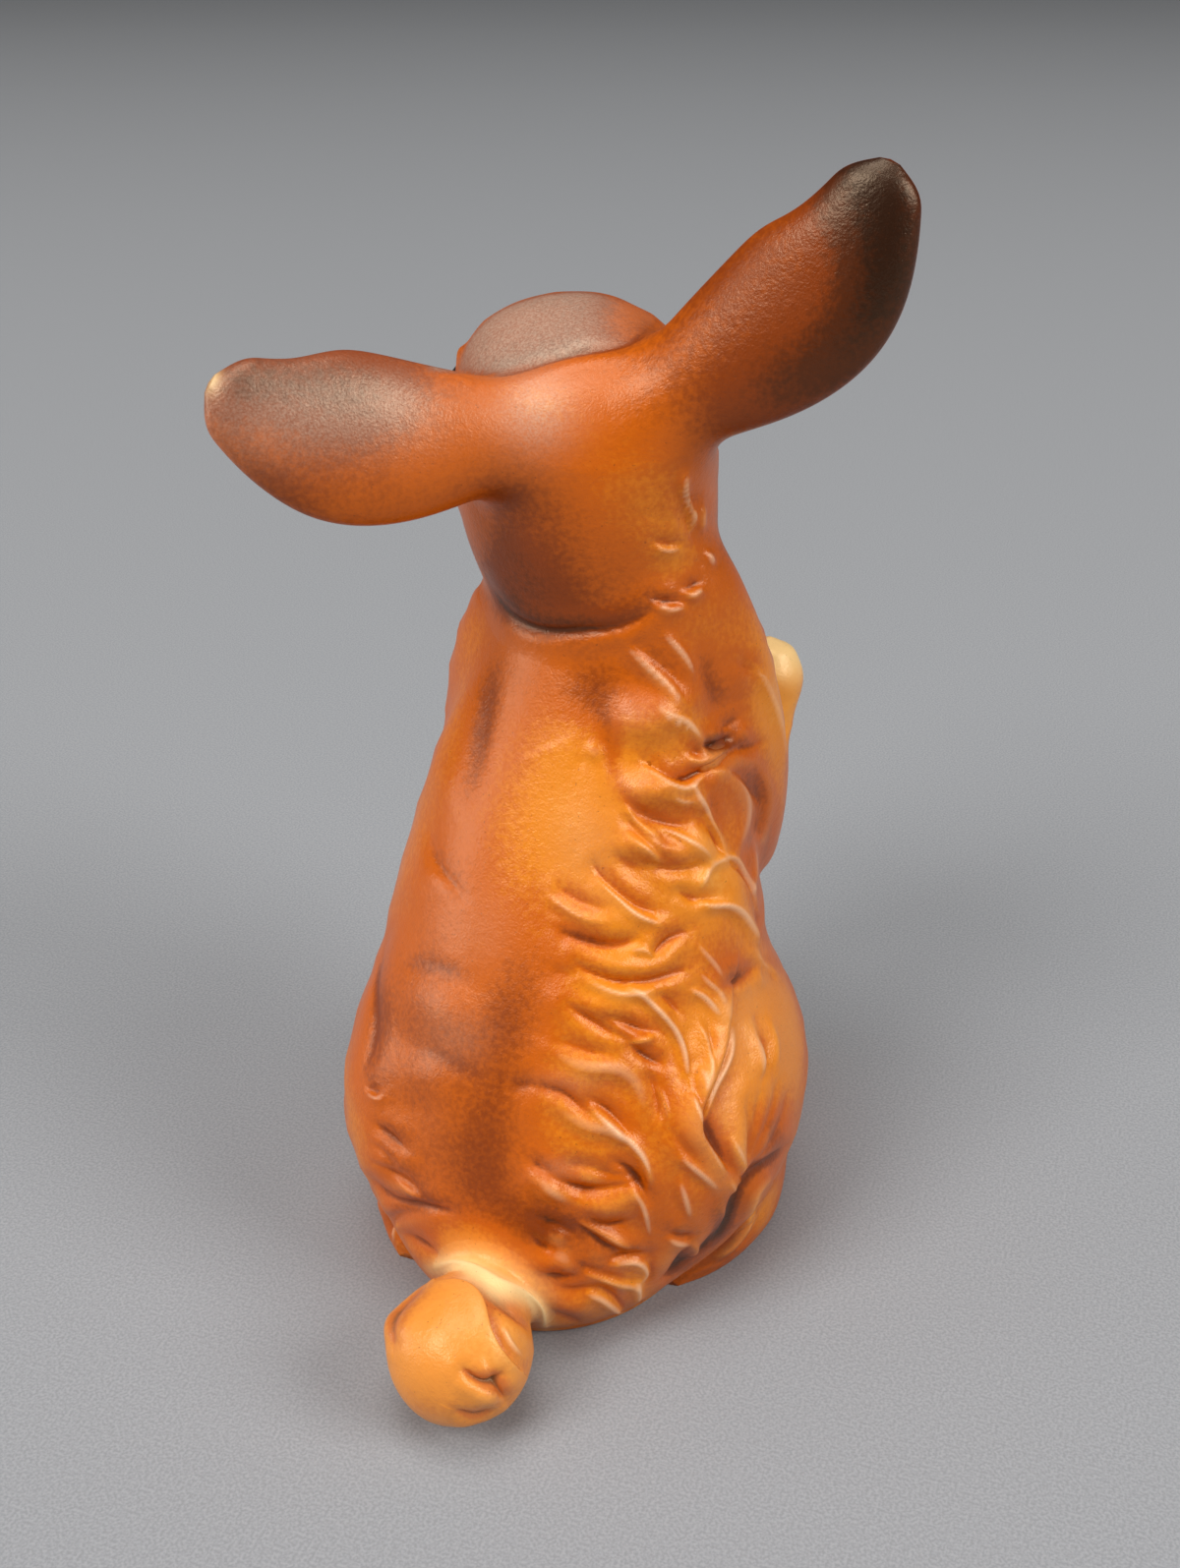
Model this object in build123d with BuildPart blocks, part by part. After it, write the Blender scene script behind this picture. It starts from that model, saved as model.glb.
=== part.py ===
from build123d import *
import os

# A hollow ceramic rabbit that sits up on its haunches with its forepaws raised.
# The model was cut into nine castings, which are stuck together with slip at
# trimmed seats before firing: the body, the head, two ears, two forelegs, two
# hind feet and the tail.
# Millimetres. +Z is up, the rabbit faces -Y and its left side is +X. The origin
# lies on the resting plane, under the middle of the body.

# Casting
wall = 3.2
vent_radius = 1.6
overrun = 5.0

# Radius of the plain ball that every bulge is stretched from
ball_radius = 10.0

# Torso, an upright form from the resting plane to the neck seat
torso_height = 90.0
torso_half_width = 26.8
torso_half_depth = 31.0
# Height share, then sideways and rearward shares of the half depth for the
# centre, then shares of the half width and of the half depth.
torso_shares = [
    (0.00, 0.00, 0.29, 0.73, 0.81),
    (0.05, 0.00, 0.29, 0.86, 0.91),
    (0.18, 0.00, 0.26, 0.98, 1.00),
    (0.34, 0.01, 0.21, 1.00, 0.97),
    (0.50, 0.02, 0.13, 0.96, 0.88),
    (0.66, 0.02, 0.04, 0.85, 0.74),
    (0.82, 0.00, -0.06, 0.72, 0.60),
    (0.93, -0.03, -0.10, 0.60, 0.48),
    (1.00, -0.04, -0.11, 0.52, 0.40),
]

# Haunches, one bulge on each side of the torso
haunch_half_width = 14.5
haunch_half_length = 26.0
haunch_half_height = 21.0
haunch_lean = 12.0
right_haunch = (-17.4, 5.0, 23.0)
left_haunch = (16.3, 7.0, 22.0)

# Upper arms, moulded with the body from the shoulder to the elbow. The shoulders'
# heights are from the neck seat.
arm_half_width = 8.6
arm_end_allowance = 6.0
right_shoulder = (-12.9, -5.0, 1.8)
left_shoulder = (12.0, -4.0, -2.5)
right_elbow = (-16.4, -16.5, 50.0)
left_elbow = (18.8, -15.5, 50.0)

# Head, along an axis from the back of the skull to the nose. Its centre's height
# is from the neck seat.
head_centre = (4.0, -7.0, 18.5)
head_turn = 37.0
head_lift = 8.0
head_roll = 9.0
head_half_length = 25.0
head_half_width = 15.3
head_half_height = 18.3
# Shares of the half length along the axis, of the half width, of the half
# height, and of the half height for the rise of the centre.
head_shares = [
    (-0.80, 0.06, 0.06, 0.00),
    (-0.78, 0.23, 0.24, 0.00),
    (-0.72, 0.46, 0.48, 0.00),
    (-0.60, 0.69, 0.72, 0.00),
    (-0.42, 0.87, 0.90, 0.00),
    (-0.08, 1.00, 1.00, 0.00),
    (0.28, 0.98, 0.96, 0.00),
    (0.56, 0.83, 0.83, -0.08),
    (0.80, 0.65, 0.69, -0.16),
    (0.96, 0.50, 0.55, -0.21),
    (1.06, 0.34, 0.38, -0.23),
    (1.11, 0.18, 0.20, -0.23),
    (1.12, 0.07, 0.08, -0.23),
]
brow = (7.0, 7.0, 9.0)
brow_place = (6.8, 7.0, 4.0)
nape_half_width = 14.0
nape_half_depth = 12.8
nape_lean = (2.5, -1.5)
nape_rise = 16.0
nape_shares = [
    (-0.30, 0.90, 0.90),
    (0.00, 0.98, 0.98),
    (0.50, 1.00, 1.00),
    (1.00, 0.90, 0.90),
]
eye = (3.8, 3.8, 3.8)
eye_place = (11.5, 3.6, 8.5)
muzzle_pad = (4.6, 4.0, 5.0)
muzzle_pad_place = (3.1, -6.2, 23.6)
nose_pad = (2.3, 1.7, 2.2)
nose_place = (0, -1.6, 27.0)
pairs_on_head = [(brow_place, brow), (eye_place, eye), (muzzle_pad_place, muzzle_pad)]

# Ears, spoon shaped, with a hollow on the side that they face. The heights of
# their lines are from the neck seat.
ear_half_width = 9.8
ear_half_thickness = 4.0
# Shares along the ear, of the half width and of the half thickness
ear_shares = [
    (0.00, 0.62, 1.60),
    (0.20, 0.68, 1.35),
    (0.38, 0.86, 1.08),
    (0.54, 0.98, 0.95),
    (0.68, 0.95, 0.88),
    (0.81, 0.74, 0.76),
    (0.91, 0.55, 0.58),
    (0.97, 0.35, 0.38),
    (1.00, 0.12, 0.14),
]
ear_scoop_half_width = 7.2
ear_scoop_half_depth = 3.4
ear_scoop_offset = 2.0
ear_scoop_shares = [
    (0.26, 0.20, 0.20),
    (0.37, 0.66, 0.80),
    (0.53, 1.00, 1.00),
    (0.68, 1.00, 0.95),
    (0.80, 0.74, 0.75),
    (0.89, 0.34, 0.40),
    (0.91, 0.14, 0.18),
]
right_ear_line = [
    (-5.0, -1.0, 22.0),
    (-11.4, 1.0, 28.4),
    (-23.5, 0.9, 38.1),
    (-29.1, 0.0, 44.6),
    (-33.4, -1.3, 55.4),
]
right_ear_facing = (0.10, -0.93, -0.30)
left_ear_line = [
    (3.0, 3.5, 22.5),
    (8.5, 9.5, 24.2),
    (14.8, 15.5, 24.9),
    (20.0, 20.6, 25.9),
    (27.4, 26.4, 29.0),
    (33.0, 30.4, 33.6),
]
left_ear_facing = (0.45, -0.80, -0.35)

# Forelegs, from the elbow seat to the raised paw
foreleg_half_width = 6.3
right_foreleg_line = [(-15.4, -12.5, 50.0), (-14.6, -31.0, 57.5), (-14.9, -36.5, 73.4)]
left_foreleg_line = [(18.0, -12.0, 50.0), (16.0, -32.0, 55.5), (14.0, -38.0, 71.5)]
foreleg_shares = [
    (0.00, 0.70, 0.70),
    (0.10, 0.98, 1.04),
    (0.24, 1.04, 1.08),
    (0.44, 0.92, 0.96),
    (0.62, 0.78, 0.80),
    (0.78, 0.82, 0.74),
    (0.91, 0.74, 0.64),
    (0.98, 0.48, 0.42),
    (1.00, 0.20, 0.18),
]
paw_toe = (1.5, 2.7, 4.4)
paw_toe_spacing = 2.3
paw_toe_set_back = 4.2

# Hind feet, flat below, each lying along one side under the haunch
foot_half_width = 8.2
foot_height = 12.5
foot_sole_share = 0.38
right_heel = (-22.6, 17.9)
right_toe = (-14.8, -41.0)
left_heel = (19.2, 27.4)
left_toe = (16.0, -38.0)
foot_shares = [
    (0.00, 0.20, 0.26),
    (0.03, 0.46, 0.54),
    (0.10, 0.79, 0.80),
    (0.24, 1.04, 1.00),
    (0.42, 1.00, 1.00),
    (0.62, 0.92, 0.84),
    (0.78, 0.96, 0.74),
    (0.88, 0.86, 0.62),
    (0.94, 0.66, 0.48),
]
foot_toe = (2.4, 7.0, 4.2)
foot_toe_spacing = 3.7
foot_toe_rise = 2.9
toe_count = 4

# Tail, a ball on a short root
tail_radius = 9.1
tail_set_back = 49.0
tail_rise = 10.0
tail_root_radius = 6.8
tail_root_set_back = 30.0


def through_ellipses(stations):
    """A closed form lofted through ellipses, each given as its plane and two half axes."""
    with BuildPart() as form:
        for plane, half_x, half_y in stations:
            with BuildSketch(plane):
                Ellipse(half_x, half_y)
        loft()
    return form.part


def ellipsoid(plane, half_x, half_y, half_z):
    """An ellipsoid on the plane's origin, with its half axes along the plane's own axes."""
    with BuildPart() as ball:
        Sphere(ball_radius)
        scale(by=(half_x / ball_radius, half_y / ball_radius, half_z / ball_radius))
    return plane.location * ball.part


def above_seat(place):
    """A place whose height is given from the neck seat."""
    return Vector(place) + Vector(0, 0, torso_height)


def torso(inset):
    """The torso's form, drawn in from every side by the inset."""
    stations = []
    for height, sideways, rearward, half_width, half_depth in torso_shares:
        place = Vector(
            sideways * torso_half_depth,
            rearward * torso_half_depth,
            inset + height * (torso_height - 2 * inset),
        )
        stations.append(
            (
                Plane(place),
                half_width * torso_half_width - inset,
                half_depth * torso_half_depth - inset,
            )
        )
    return through_ellipses(stations)


def haunch(place, inset):
    """The bulge of one hind leg, drawn in by the inset."""
    upright = Vector(0, 0, 1).rotate(Axis.X, haunch_lean)
    return ellipsoid(
        Plane(origin=place, x_dir=(1, 0, 0), z_dir=upright),
        haunch_half_width - inset,
        haunch_half_length - inset,
        haunch_half_height - inset,
    )


def upper_arm(shoulder, elbow):
    """The shoulder and upper arm, one long bulge down to the elbow."""
    middle = (above_seat(shoulder) + Vector(elbow)) / 2
    run = Vector(elbow) - above_seat(shoulder)
    half_length = run.length / 2 + arm_end_allowance
    return ellipsoid(
        Plane(origin=middle, z_dir=run), arm_half_width, arm_half_width, half_length
    )


def head_plane():
    """The plane on the head's centre: its Z looks out of the face and its Y is the crown."""
    forward = Vector(0, -1, 0).rotate(Axis.X, -head_lift).rotate(Axis.Z, head_turn)
    level = Vector(1, 0, 0).rotate(Axis.Z, head_turn)
    across = level.rotate(Axis((0, 0, 0), forward), head_roll)
    return Plane(origin=above_seat(head_centre), x_dir=across, z_dir=forward)


def on_head(place):
    """The head's plane moved to a place given along its own axes."""
    facing = head_plane()
    return Plane(
        origin=facing.from_local_coords(place),
        x_dir=facing.x_dir,
        z_dir=facing.z_dir,
    )


def skull(inset):
    """The head from the back of the skull to the nose, drawn in by the inset."""
    stations = []
    for along, half_width, half_height, rise in head_shares:
        if min(half_width, half_height) * head_half_width > inset:
            stations.append(
                (
                    on_head((0, rise * head_half_height, along * head_half_length)),
                    half_width * head_half_width - inset,
                    half_height * head_half_height - inset,
                )
            )
    return through_ellipses(stations)


def nape():
    """The neck that the head carries, from under the neck seat up into the skull."""
    stations = []
    for height, half_width, half_depth in nape_shares:
        place = Vector(
            neck_x + height * nape_lean[0],
            neck_y + height * nape_lean[1],
            torso_height + height * nape_rise,
        )
        stations.append(
            (
                Plane(place),
                half_width * nape_half_width,
                half_depth * nape_half_depth,
            )
        )
    return through_ellipses(stations)


def blade(line, facing, half_width, half_thickness, shares, offset):
    """A form along a smooth line, wide across it, with its thickness towards the facing.

    The offset moves every section towards the facing.
    """
    with BuildLine():
        spine = Spline(*line)
    stations = []
    for along, width_share, thickness_share in shares:
        tangent = spine % along
        towards = Vector(facing) - tangent * Vector(facing).dot(tangent)
        towards = towards.normalized()
        stations.append(
            (
                Plane(
                    origin=spine @ along + towards * offset * thickness_share,
                    x_dir=towards.cross(tangent),
                    z_dir=tangent,
                ),
                half_width * width_share,
                half_thickness * thickness_share,
            )
        )
    return through_ellipses(stations)


def toes(plane, size, spacing):
    """A row of toes side by side across the plane, each an ellipsoid of the given size."""
    with BuildPart() as row:
        for number in range(toe_count):
            across = (number - (toe_count - 1) / 2) * spacing
            origin = plane.from_local_coords((across, 0, 0))
            add(ellipsoid(Plane(origin, plane.x_dir, plane.z_dir), *size))
    return row.part


def hind_foot(heel, toe):
    """One foot from its heel to its toes, with a flat sole on the resting plane."""
    run = Vector(*toe) - Vector(*heel)
    across = run.normalized().rotate(Axis.Z, 90)
    stations = []
    for along, half_width, height in foot_shares:
        rise = Vector(0, 0, foot_sole_share * height * foot_height)
        stations.append(
            (
                Plane(origin=Vector(*heel) + run * along + rise, x_dir=across, z_dir=run),
                half_width * foot_half_width,
                (1 - foot_sole_share) * height * foot_height,
            )
        )
    with BuildPart() as form:
        add(through_ellipses(stations))
        tips = Vector(*toe) - run.normalized() * foot_toe[1] + Vector(0, 0, foot_toe_rise)
        add(toes(Plane(origin=tips, x_dir=across), foot_toe, foot_toe_spacing))
        split(bisect_by=Plane.XY, keep=Keep.TOP)
    return form.part


def foreleg(line):
    """One foreleg from inside the elbow to the raised paw, with its toes."""
    facing = (0, -1, 0)
    with BuildPart() as form:
        add(blade(line, facing, foreleg_half_width, foreleg_half_width, foreleg_shares, 0))
        upwards = (Vector(line[2]) - Vector(line[1])).normalized()
        origin = Vector(line[2]) - upwards * paw_toe_set_back
        add(toes(Plane(origin, (1, 0, 0), upwards), paw_toe, paw_toe_spacing))
    return form.part


neck_x = torso_shares[-1][1] * torso_half_depth
neck_y = torso_shares[-1][2] * torso_half_depth
vent_y = torso_shares[0][2] * torso_half_depth

# The outer form of the torso, haunches and upper arms, flat where it rests
with BuildPart() as body_form:
    add(torso(0))
    add(haunch(right_haunch, 0))
    add(haunch(left_haunch, 0))
    add(upper_arm(right_shoulder, right_elbow))
    add(upper_arm(left_shoulder, left_elbow))
    split(bisect_by=Plane.XY, keep=Keep.TOP)

# The outer form of the head with its nape, muzzle, nose and eyes
with BuildPart() as head_form:
    add(skull(0))
    add(nape())
    for place, size in pairs_on_head:
        for side in (-1, 1):
            add(ellipsoid(on_head((side * place[0], place[1], place[2])), *size))
    add(ellipsoid(on_head(nose_place), *nose_pad))
    add(body_form.part, mode=Mode.SUBTRACT)

# Body casting: hollow behind an even wall, with one air vent through the base and
# one through the neck seat
with BuildPart() as body_cavity:
    add(torso(wall))
    add(haunch(right_haunch, wall))
    add(haunch(left_haunch, wall))
    split(bisect_by=Plane.XY.offset(wall), keep=Keep.TOP)

with BuildPart() as body:
    add(body_form.part)
    add(body_cavity.part, mode=Mode.SUBTRACT)
    with BuildSketch():
        with Locations((0, vent_y)):
            Circle(vent_radius)
    extrude(amount=wall + overrun, mode=Mode.SUBTRACT)
    with BuildSketch(Plane.XY.offset(torso_height)):
        with Locations((neck_x, neck_y)):
            Circle(vent_radius)
    extrude(amount=-wall - overrun, mode=Mode.SUBTRACT)
body.part.label = "body"

# Head casting: hollow, with the air vent carried on up through its floor
with BuildPart() as head:
    add(head_form.part)
    add(skull(wall), mode=Mode.SUBTRACT)
    with BuildSketch(Plane.XY.offset(torso_height)):
        with Locations((neck_x, neck_y)):
            Circle(vent_radius)
    extrude(amount=wall + overrun, mode=Mode.SUBTRACT)
head.part.label = "head"


def ear(line, facing):
    """One ear: a blade scooped out on the side that it faces, trimmed to the head."""
    raised = [above_seat(place) for place in line]
    with BuildPart() as form:
        add(blade(raised, facing, ear_half_width, ear_half_thickness, ear_shares, 0))
        scoop = blade(
            raised,
            facing,
            ear_scoop_half_width,
            ear_scoop_half_depth,
            ear_scoop_shares,
            ear_scoop_offset,
        )
        add(scoop, mode=Mode.SUBTRACT)
        add(head_form.part, mode=Mode.SUBTRACT)
    return form.part


with BuildPart() as right_ear:
    add(ear(right_ear_line, right_ear_facing))
right_ear.part.label = "right_ear"

with BuildPart() as left_ear:
    add(ear(left_ear_line, left_ear_facing))
left_ear.part.label = "left_ear"

with BuildPart() as right_foreleg:
    add(foreleg(right_foreleg_line))
    add(body_form.part, mode=Mode.SUBTRACT)
right_foreleg.part.label = "right_foreleg"

with BuildPart() as left_foreleg:
    add(foreleg(left_foreleg_line))
    add(body_form.part, mode=Mode.SUBTRACT)
left_foreleg.part.label = "left_foreleg"

with BuildPart() as right_hind_foot:
    add(hind_foot(right_heel, right_toe))
    add(body_form.part, mode=Mode.SUBTRACT)
right_hind_foot.part.label = "right_hind_foot"

with BuildPart() as left_hind_foot:
    add(hind_foot(left_heel, left_toe))
    add(body_form.part, mode=Mode.SUBTRACT)
left_hind_foot.part.label = "left_hind_foot"

# Tail casting: a ball on a root that runs to the rump
with BuildPart() as tail:
    with Locations((0, tail_set_back, tail_rise)):
        Sphere(tail_radius)
    with BuildSketch(Plane(origin=(0, tail_root_set_back, tail_rise), z_dir=(0, 1, 0))):
        Circle(tail_root_radius)
    extrude(amount=tail_set_back - tail_root_set_back)
    add(body_form.part, mode=Mode.SUBTRACT)
tail.part.label = "tail"

os.makedirs("parts", exist_ok=True)
export_step(body.part, "parts/body.step")
export_step(head.part, "parts/head.step")
export_step(right_ear.part, "parts/right_ear.step")
export_step(left_ear.part, "parts/left_ear.step")
export_step(right_foreleg.part, "parts/right_foreleg.step")
export_step(left_foreleg.part, "parts/left_foreleg.step")
export_step(right_hind_foot.part, "parts/right_hind_foot.step")
export_step(left_hind_foot.part, "parts/left_hind_foot.step")
export_step(tail.part, "parts/tail.step")
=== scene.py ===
import bpy
import numpy as np
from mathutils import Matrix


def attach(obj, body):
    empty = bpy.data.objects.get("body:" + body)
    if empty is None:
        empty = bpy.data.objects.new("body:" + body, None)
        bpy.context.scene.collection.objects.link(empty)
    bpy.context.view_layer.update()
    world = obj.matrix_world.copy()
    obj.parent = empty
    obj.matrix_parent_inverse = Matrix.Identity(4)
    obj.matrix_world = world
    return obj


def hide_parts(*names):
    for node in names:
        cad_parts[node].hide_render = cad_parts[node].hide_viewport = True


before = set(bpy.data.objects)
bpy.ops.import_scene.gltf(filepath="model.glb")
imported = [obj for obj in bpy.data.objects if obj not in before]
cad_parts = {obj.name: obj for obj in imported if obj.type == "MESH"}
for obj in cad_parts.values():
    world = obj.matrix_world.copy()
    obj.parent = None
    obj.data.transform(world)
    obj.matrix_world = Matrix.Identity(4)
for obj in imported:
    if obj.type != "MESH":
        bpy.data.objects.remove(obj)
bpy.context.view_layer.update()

# A ceramic rabbit, carved and airbrushed. Millimetres, until a piece becomes a mesh.
# +Z is up, the rabbit faces -Y and its left side is +X.
metres = 0.001
speck = 1e-9

# Body, as the castings have it
torso_height = 90.0
torso_half_width = 26.8
torso_half_depth = 31.0
torso_shares = [
    (0.00, 0.00, 0.29, 0.73, 0.81),
    (0.05, 0.00, 0.29, 0.86, 0.91),
    (0.18, 0.00, 0.26, 0.98, 1.00),
    (0.34, 0.01, 0.21, 1.00, 0.97),
    (0.50, 0.02, 0.13, 0.96, 0.88),
    (0.66, 0.02, 0.04, 0.85, 0.74),
    (0.82, 0.00, -0.06, 0.72, 0.60),
    (0.93, -0.03, -0.10, 0.60, 0.48),
    (1.00, -0.04, -0.11, 0.52, 0.40),
]
torso_top = 93.0
top_fillet = 5.0
haunch_halves = (14.5, 26.0, 21.0)
haunch_lean = 12.0
right_haunch = (-17.4, 5.0, 23.0)
left_haunch = (16.3, 7.0, 22.0)
haunch_fillet = 5.0
arm_half_width = 8.6
arm_end_allowance = 6.0
arm_fillet = 4.0
right_arm = ((-12.9, -5.0, 91.8), (-16.4, -16.5, 50.0))
left_arm = ((12.0, -4.0, 87.5), (18.8, -15.5, 50.0))
vent_place = (0.0, 8.99)
vent_radius = 1.6

# Head
head_centre = (4.0, -7.0, 108.5)
head_turn = 37.0
head_lift = 8.0
head_roll = 9.0
head_half_length = 25.0
head_half_width = 15.3
head_half_height = 18.3
skull_widest = -0.08
skull_back = 0.72
face_shares = [
    (-0.08, 1.00, 1.00, 0.00),
    (0.28, 0.98, 0.96, 0.00),
    (0.56, 0.83, 0.83, -0.08),
    (0.80, 0.65, 0.69, -0.16),
    (0.96, 0.50, 0.55, -0.21),
    (1.06, 0.34, 0.38, -0.23),
    (1.11, 0.18, 0.20, -0.23),
    (1.12, 0.07, 0.08, -0.23),
]
# Each pad: its place on the face, its halves and its fillet
brow = ((6.8, 7.0, 4.0), (7.0, 7.0, 9.0), 5.0)
muzzle_pad = ((3.1, -6.2, 23.6), (4.6, 4.0, 5.0), 2.5)
nose_pad = ((0.0, -1.6, 27.0), (2.3, 1.7, 2.2), 1.2)
eye_place = (11.5, 3.6, 8.5)
eye_radius = 3.8
neck_seat = (-1.24, -3.41)
nape_lean = (2.5, -1.5)
nape_halves = (14.0, 12.8)
nape_rise = 16.0
nape_fillet = 8.0
nape_shares = [(-0.3, 0.90), (0.0, 0.98), (0.5, 1.00), (1.0, 0.90)]

# Ears
ear_half_width = 9.8
ear_half_thickness = 4.0
ear_shares = [
    (0.00, 0.62, 1.60),
    (0.20, 0.68, 1.35),
    (0.38, 0.86, 1.08),
    (0.54, 0.98, 0.95),
    (0.68, 0.95, 0.88),
    (0.81, 0.74, 0.76),
    (0.91, 0.55, 0.58),
    (0.97, 0.35, 0.38),
    (1.00, 0.12, 0.14),
]
right_ear_line = [
    (-5.0, -1.0, 112.0),
    (-11.4, 1.0, 118.4),
    (-23.5, 0.9, 128.1),
    (-29.1, 0.0, 134.6),
    (-33.4, -1.3, 145.4),
]
right_ear_facing = (0.10, -0.93, -0.30)
left_ear_line = [
    (3.0, 3.5, 112.5),
    (8.5, 9.5, 114.2),
    (14.8, 15.5, 114.9),
    (20.0, 20.6, 115.9),
    (27.4, 26.4, 119.0),
    (33.0, 30.4, 123.6),
]
left_ear_facing = (0.45, -0.80, -0.35)

# Legs and feet
foreleg_half_width = 6.3
right_foreleg_line = [(-15.4, -12.5, 50.0), (-14.6, -31.0, 57.5), (-14.9, -36.5, 73.4)]
left_foreleg_line = [(18.0, -12.0, 50.0), (16.0, -32.0, 55.5), (14.0, -38.0, 71.5)]
foreleg_shares = [
    (0.00, 0.70, 0.70),
    (0.10, 0.98, 1.04),
    (0.24, 1.04, 1.08),
    (0.44, 0.92, 0.96),
    (0.62, 0.78, 0.80),
    (0.78, 0.84, 0.78),
    (0.89, 0.86, 0.78),
    (0.95, 0.68, 0.62),
    (0.985, 0.40, 0.38),
    (1.00, 0.10, 0.10),
]
foot_half_width = 8.2
foot_height = 12.5
foot_sole_share = 0.38
right_foot_line = ((-22.6, 17.9), (-14.8, -41.0))
left_foot_line = ((19.2, 27.4), (16.0, -38.0))
foot_shares = [
    (0.00, 0.20, 0.26),
    (0.03, 0.46, 0.54),
    (0.10, 0.79, 0.80),
    (0.24, 1.04, 1.00),
    (0.42, 1.00, 1.00),
    (0.62, 0.92, 0.84),
    (0.78, 0.98, 0.74),
    (0.90, 1.02, 0.62),
    (0.97, 0.80, 0.46),
    (1.00, 0.30, 0.22),
]
tail_centre = (0.0, 49.0, 10.0)
tail_radius = 9.1
tail_root_radius = 6.0
tail_root_fillet = 2.5
tail_inside = 24.0

# The eye that drew the strokes: the view from behind the right shoulder, looking
# down. Its picture is 1200 across and 1595 high.
eye_point = np.array([-68.3, 195.9, 175.3])
look_point = np.array([0.0, 0.0, 65.0])
picture = (1200.0, 1595.0)
picture_distance = 1800.0


def unit(vector):
    """The same direction with a length of one."""
    vector = np.asarray(vector, float)
    return vector / (np.linalg.norm(vector, axis=-1, keepdims=True) + speck)


def turned(vector, axis, degrees):
    """The vector turned about the axis: v cos + (axis x v) sin + axis (axis . v)(1 - cos)."""
    angle = np.radians(degrees)
    vector = np.asarray(vector, float)
    axis = unit(axis)
    across = np.cross(axis, vector)
    along = axis * axis.dot(vector)
    return vector * np.cos(angle) + across * np.sin(angle) + along * (1 - np.cos(angle))


def rise(value, start, end):
    """From 0 at the start to 1 at the end, with a gentle foot and head: t^2 (3 - 2t)."""
    t = np.clip((value - start) / (end - start), 0, 1)
    return t * t * (3 - 2 * t)


def hump(value, width):
    """A bell of height one: exp of minus the square of value over width."""
    return np.exp(-((value / width) ** 2))


def merged(a, b, soft):
    """The lesser of two distances, rounded where they are within soft of each other."""
    near = np.maximum(soft - np.abs(a - b), 0) / soft
    return np.minimum(a, b) - near * near * soft / 4


def curve(shares):
    """The natural cubic spline through a table's rows, as a function of its first column."""
    table = np.array(shares, float)
    knots, values = table[:, 0], table[:, 1:]
    gaps = np.diff(knots)
    rows = np.arange(1, len(knots) - 1)
    system = np.eye(len(knots))
    system[rows, rows - 1] = gaps[:-1]
    system[rows, rows] = 2 * (gaps[:-1] + gaps[1:])
    system[rows, rows + 1] = gaps[1:]
    change = np.zeros_like(values)
    change[1:-1] = 6 * np.diff(np.diff(values, axis=0) / gaps[:, None], axis=0)
    bend = np.linalg.solve(system, change)
    fine = np.linspace(knots[0], knots[-1], 800)
    left = np.clip(np.searchsorted(knots, fine, side="right") - 1, 0, len(knots) - 2)
    b = ((fine - knots[left]) / gaps[left])[:, None]
    a = 1 - b
    lift = (a**3 - a) * bend[left] + (b**3 - b) * bend[left + 1]
    smooth = a * values[left] + b * values[left + 1] + lift * gaps[left][:, None] ** 2 / 6
    return lambda at: [np.interp(at, fine, column) for column in smooth.T]


def line_through(places):
    """The smooth line through the places, as a function from 0 to 1 that gives points."""
    places = np.array(places, float)
    steps = np.linalg.norm(np.diff(places, axis=0), axis=1)
    along = np.concatenate([[0], np.cumsum(steps)]) / steps.sum()
    look_up = curve(np.column_stack([along, places]))
    return lambda at: np.stack(look_up(at), axis=-1)


# Distances outside the forms, below zero inside them


def ball_gap(points, centre, axes, halves):
    """Outside an ellipsoid: k (k - 1) over the slope, where k is 1 on its skin."""
    halves = np.array(halves, float)
    local = (points - np.array(centre, float)) @ np.array(axes, float).T / halves
    k = np.linalg.norm(local, axis=-1)
    return k * (k - 1) / (np.linalg.norm(local / halves, axis=-1) + speck)


def stack_gap(x, y, half_x, half_y):
    """Outside an ellipse about the origin, as for the ellipsoid."""
    k = np.hypot(x / half_x, y / half_y)
    return k * (k - 1) / (np.hypot(x / half_x**2, y / half_y**2) + speck)


torso_at = curve(torso_shares)
level_axes = np.eye(3)
haunch_axes = [turned(axis, (1, 0, 0), haunch_lean) for axis in level_axes]


def torso_gap(p):
    """Outside the torso: its ellipse at that height, closed by a soft top."""
    sideways, rearward, wide, deep = torso_at(p[..., 2] / torso_height)
    x = p[..., 0] - sideways * torso_half_depth
    y = p[..., 1] - rearward * torso_half_depth
    side = stack_gap(x, y, wide * torso_half_width, deep * torso_half_depth)
    return -merged(-side, torso_top - p[..., 2], top_fillet)


def arm_gap(p, arm):
    """Outside an upper arm, one long bulge from the shoulder to the elbow."""
    shoulder, elbow = np.array(arm)
    run = unit(elbow - shoulder)
    side = unit(np.cross(run, (0, 1, 0)))
    half_length = np.linalg.norm(elbow - shoulder) / 2 + arm_end_allowance
    halves = (arm_half_width, arm_half_width, half_length)
    return ball_gap(p, (shoulder + elbow) / 2, (side, np.cross(run, side), run), halves)


def body_gap(p):
    """Outside the torso with its haunches and upper arms."""
    gap = torso_gap(p)
    for haunch in (right_haunch, left_haunch):
        ball = ball_gap(p, haunch, haunch_axes, haunch_halves)
        gap = merged(gap, ball, haunch_fillet)
    for arm in (right_arm, left_arm):
        gap = merged(gap, arm_gap(p, arm), arm_fillet)
    return gap


face_forward = turned(turned((0, -1, 0), (1, 0, 0), -head_lift), (0, 0, 1), head_turn)
face_across = turned(turned((1, 0, 0), (0, 0, 1), head_turn), face_forward, head_roll)
face_crown = np.cross(face_forward, face_across)
face_axes = np.array([face_across, face_crown, face_forward])
head_middle = np.array(head_centre)
face_at = curve(face_shares)
nape_at = curve(nape_shares)


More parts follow.
